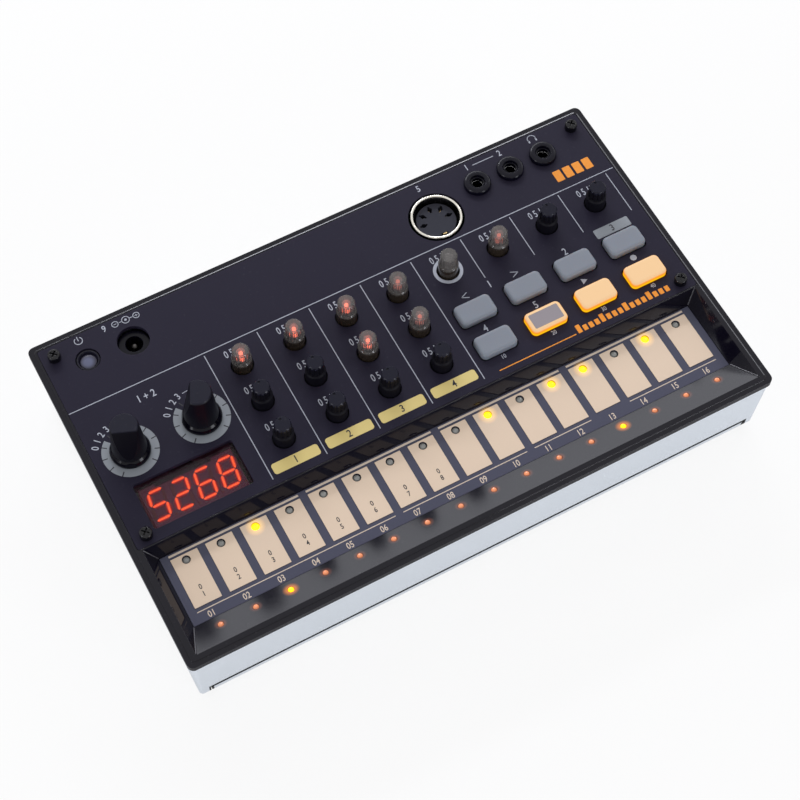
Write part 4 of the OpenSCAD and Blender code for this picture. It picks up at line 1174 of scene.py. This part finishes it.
class DressSockets(bpy.types.Operator):
    """Power socket, round socket, jacks and their contacts"""
    bl_idname = "drum_machine.dress_sockets"
    bl_label = "Dress sockets"

    def execute(self, context):
        dress(("dc_jack", "phone_jacks", "jack_collars"), "socket_black", srgb(9, 8, 22),
              rough=0.22, depth=0.03, dust=0.01, worn=0.3, worn_colour=srgb(40, 40, 54),
              Specular_IOR_Level=0.2)
        dress(("din_socket_insert",), "insert_black", srgb(42, 43, 54), Specular_IOR_Level=0.2)
        dress(("din_socket_shell",), "nickel_shell", srgb(222, 218, 208), rough=0.14, depth=0.05,
              Metallic=1.0)
        dress(("panel_screws",), "black_screw", srgb(8, 8, 13), rough=0.16, depth=0.05,
              worn=0.6, worn_colour=srgb(80, 80, 88), Specular_IOR_Level=0.35)
        self.line_jacks()
        self.fit_round_contacts()
        return {"FINISHED"}

    def line_jacks(self):
        """Bright sleeves in the bores of the three jacks."""
        bore, wall = 1.8, 0.06
        shape = bmesh.new()
        for x, y in jack_places():
            ring_band(shape, x, y, bore - wall, bore, PANEL_Z - 4.5, PANEL_Z - 0.6, 40)
        sleeve = finish("bright_sleeve", srgb(226, 226, 228), rough=0.12, depth=0.02, Metallic=1.0)
        new_piece("jack_sleeves", shape, sleeve)

    def fit_round_contacts(self):
        """Five contact blades and the shell's tab in the round socket."""
        (x, y), face = middle("din_socket_shell"), top_of("din_socket_insert")
        contacts, reach, half_length, thick, tab_down = 5, 4.45, 0.9, 0.3, 5.75
        shape = bmesh.new()
        for k in range(contacts):
            away = Vector((math.cos(math.radians(45 * k)), math.sin(math.radians(45 * k))))
            start, end = (Vector((x, y)) + away * (reach + half_length * side)
                          for side in (-1, 1))
            plate(shape, stroke_outline(*start, *end, thick), face - 3.4, face - 1.5)
        plate(shape, rounded_outline(x, y - tab_down, 1.3, 0.45, 0.12, 3), face - 5.0, face + 0.5)
        brass = finish("contact_brass", srgb(196, 172, 128), rough=0.25, depth=0.03, Metallic=1.0)
        new_piece("round_socket_contacts", shape, brass)


class DressInside(bpy.types.Operator):
    """Boards, pots, switches and speaker"""
    bl_idname = "drum_machine.dress_inside"
    bl_label = "Dress inside"

    def execute(self, context):
        dress(("main_board", "led_strip_board"), "solder_mask", srgb(24, 74, 44), rough=0.35,
              Coat_Weight=0.3)
        dress(("small_pots", "tact_switches"), "switch_black", srgb(46, 46, 48), rough=0.55)
        dress(("speaker_cone",), "paper_cone", srgb(40, 38, 38), rough=0.85, depth=0.4)
        return {"FINISHED"}


class SetStage(bpy.types.Operator):
    """Pale floor, soft lamps, white surroundings and the camera"""
    bl_idname = "drum_machine.set_stage"
    bl_label = "Set stage"
    FLOOR_HALF = 4000
    FLOOR_WHITE, FLOOR_IN_GLOSS = 0.85, 0.64
    LAMP_COLOUR, LAMP_AIM = (0.9, 0.92, 1.0), Vector((0, 0, 0.02))
    CAMERA_PLACE = Vector((-0.12971, -0.23783, 0.51576))
    CAMERA_RIGHT = Vector((0.88054, -0.47395, 0.00362))
    CAMERA_UP = Vector((0.41674, 0.77785, 0.47039))

    def execute(self, context):
        stage = context.scene.drum_machine_stage
        self.lay_floor(stage)
        self.surround(stage)
        for name, power, size, place in (
                ("key_lamp", stage.key_power, (1.0, 0.34), (0.2, 0.97, 0.34)),
                ("back_edge_lamp", stage.edge_power, (0.7, 0.07), (0.235, 0.9, 0.6)),
                ("right_edge_lamp", stage.edge_power / 2.5, (0.4, 0.16), (0.85, 0.443, 0.683)),
                ("left_lamp", stage.fill_power, (0.28, 0.34), (-0.94, -0.165, 0.2)),
                ("front_lamp", stage.fill_power, (0.28, 0.34), (0.356, -0.88, 0.2))):
            self.lamp(name, power, size, place)
        self.set_camera(stage)
        context.scene.view_settings.view_transform = "Standard"
        return {"FINISHED"}

    def seen_share(self, tree, path):
        """1 where the camera looks, also by a mirror or through a clear part."""
        return math_node(tree, "MAXIMUM", path["Is Camera Ray"], path["Is Glossy Ray"],
                         path["Is Transmission Ray"])

    def blend(self, tree, share, first, second, output):
        """Mixes two shaders into the output of a tree."""
        mixed = add(tree, "ShaderNodeMixShader", {0: share, 1: first.outputs[0],
                                                  2: second.outputs[0]})
        tree.links.new(mixed.outputs[0], tree.nodes[output].inputs["Surface"])

    def lay_floor(self, stage):
        """A large pale floor that reads as white and keeps a soft shadow."""
        shape = bmesh.new()
        plate(shape, bar_outline(0, 0, 2 * self.FLOOR_HALF, 2 * self.FLOOR_HALF), -2.0, 0.0)
        material = bpy.data.materials.new("floor")
        material.use_nodes = True
        tree = material.node_tree
        skin = tree.nodes["Principled BSDF"]
        skin.inputs["Base Color"].default_value = stage.floor
        skin.inputs["Roughness"].default_value = 0.9
        skin.inputs["Specular IOR Level"].default_value = 0.0
        path = add(tree, "ShaderNodeLightPath").outputs
        dimmed = math_node(tree, "MULTIPLY", path["Is Glossy Ray"], self.FLOOR_IN_GLOSS)
        white = add(tree, "ShaderNodeEmission",
                    {"Strength": math_node(tree, "SUBTRACT", 1.0, dimmed)})
        share = math_node(tree, "MULTIPLY", self.seen_share(tree, path), self.FLOOR_WHITE)
        self.blend(tree, share, skin, white, "Material Output")
        floor = solid("floor", shape, material)

    def surround(self, stage):
        """Soft grey light all round, seen as white."""
        world = bpy.data.worlds.new("studio")
        world.use_nodes = True
        tree = world.node_tree
        soft = tree.nodes["Background"]
        soft.inputs["Color"].default_value = WHITE
        soft.inputs["Strength"].default_value = stage.world
        white = add(tree, "ShaderNodeBackground", {"Color": WHITE})
        path = add(tree, "ShaderNodeLightPath").outputs
        self.blend(tree, self.seen_share(tree, path), soft, white, "World Output")
        bpy.context.scene.world = world

    def lamp(self, name, power, size, place):
        """A soft rectangular lamp that looks at the object; size is its width and height."""
        data = bpy.data.lights.new(name, "AREA")
        data.energy = power
        data.color = self.LAMP_COLOUR
        data.shape = "RECTANGLE"
        data.size, data.size_y = size
        lamp = new_object(name, data)
        lamp.location = place
        aim = self.LAMP_AIM - Vector(place)
        lamp.rotation_euler = aim.to_track_quat("-Z", "Y").to_euler()
        lamp.visible_camera = False

    def set_camera(self, stage):
        """The camera stands where the photograph's rim edges put it."""
        data = bpy.data.cameras.new("photo_camera")
        data.sensor_width = 36
        data.lens = stage.lens
        data.clip_start = 0.01
        camera = new_object("photo_camera", data)
        back = self.CAMERA_RIGHT.cross(self.CAMERA_UP)
        turn = Matrix((self.CAMERA_RIGHT, self.CAMERA_UP, back)).transposed().to_4x4()
        camera.matrix_world = Matrix.Translation(self.CAMERA_PLACE) @ turn
        bpy.context.scene.camera = camera


class DrumMachinePanel(bpy.types.Panel):
    """Lists the steps that dress the drum machine"""
    bl_idname = "VIEW3D_PT_drum_machine"
    bl_label = "Drum Machine"
    bl_space_type = "VIEW_3D"
    bl_region_type = "UI"
    bl_category = "Drum Machine"

    def draw(self, context):
        for group in SETTINGS:
            box = self.layout.box()
            settings = getattr(context.scene, group)
            for title in settings.__annotations__:
                box.prop(settings, title)
        for step in STEPS:
            self.layout.operator(step.bl_idname)


SETTINGS = {"drum_machine_finish": DrumMachineFinish, "drum_machine_print": DrumMachinePrint,
            "drum_machine_lights": DrumMachineLights, "drum_machine_stage": DrumMachineStage}
STEPS = (DressCase, DressCover, DressPanel, PrintPanel, DressTouchBed, FitDisplay, FitLights,
         DressControls, DressButtons, DressSockets, DressInside, SetStage)


def register():
    for kind in (*SETTINGS.values(), *STEPS, DrumMachinePanel):
        bpy.utils.register_class(kind)
    for name, kind in SETTINGS.items():
        setattr(bpy.types.Scene, name, bpy.props.PointerProperty(type=kind))


def unregister():
    for name in SETTINGS:
        delattr(bpy.types.Scene, name)
    for kind in (DrumMachinePanel, *STEPS, *SETTINGS.values()):
        bpy.utils.unregister_class(kind)


def main():
    """Registers the add-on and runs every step."""
    register()
    for step in STEPS:
        family, name = step.bl_idname.split(".")
        getattr(getattr(bpy.ops, family), name)()


if __name__ == "__main__":
    main()
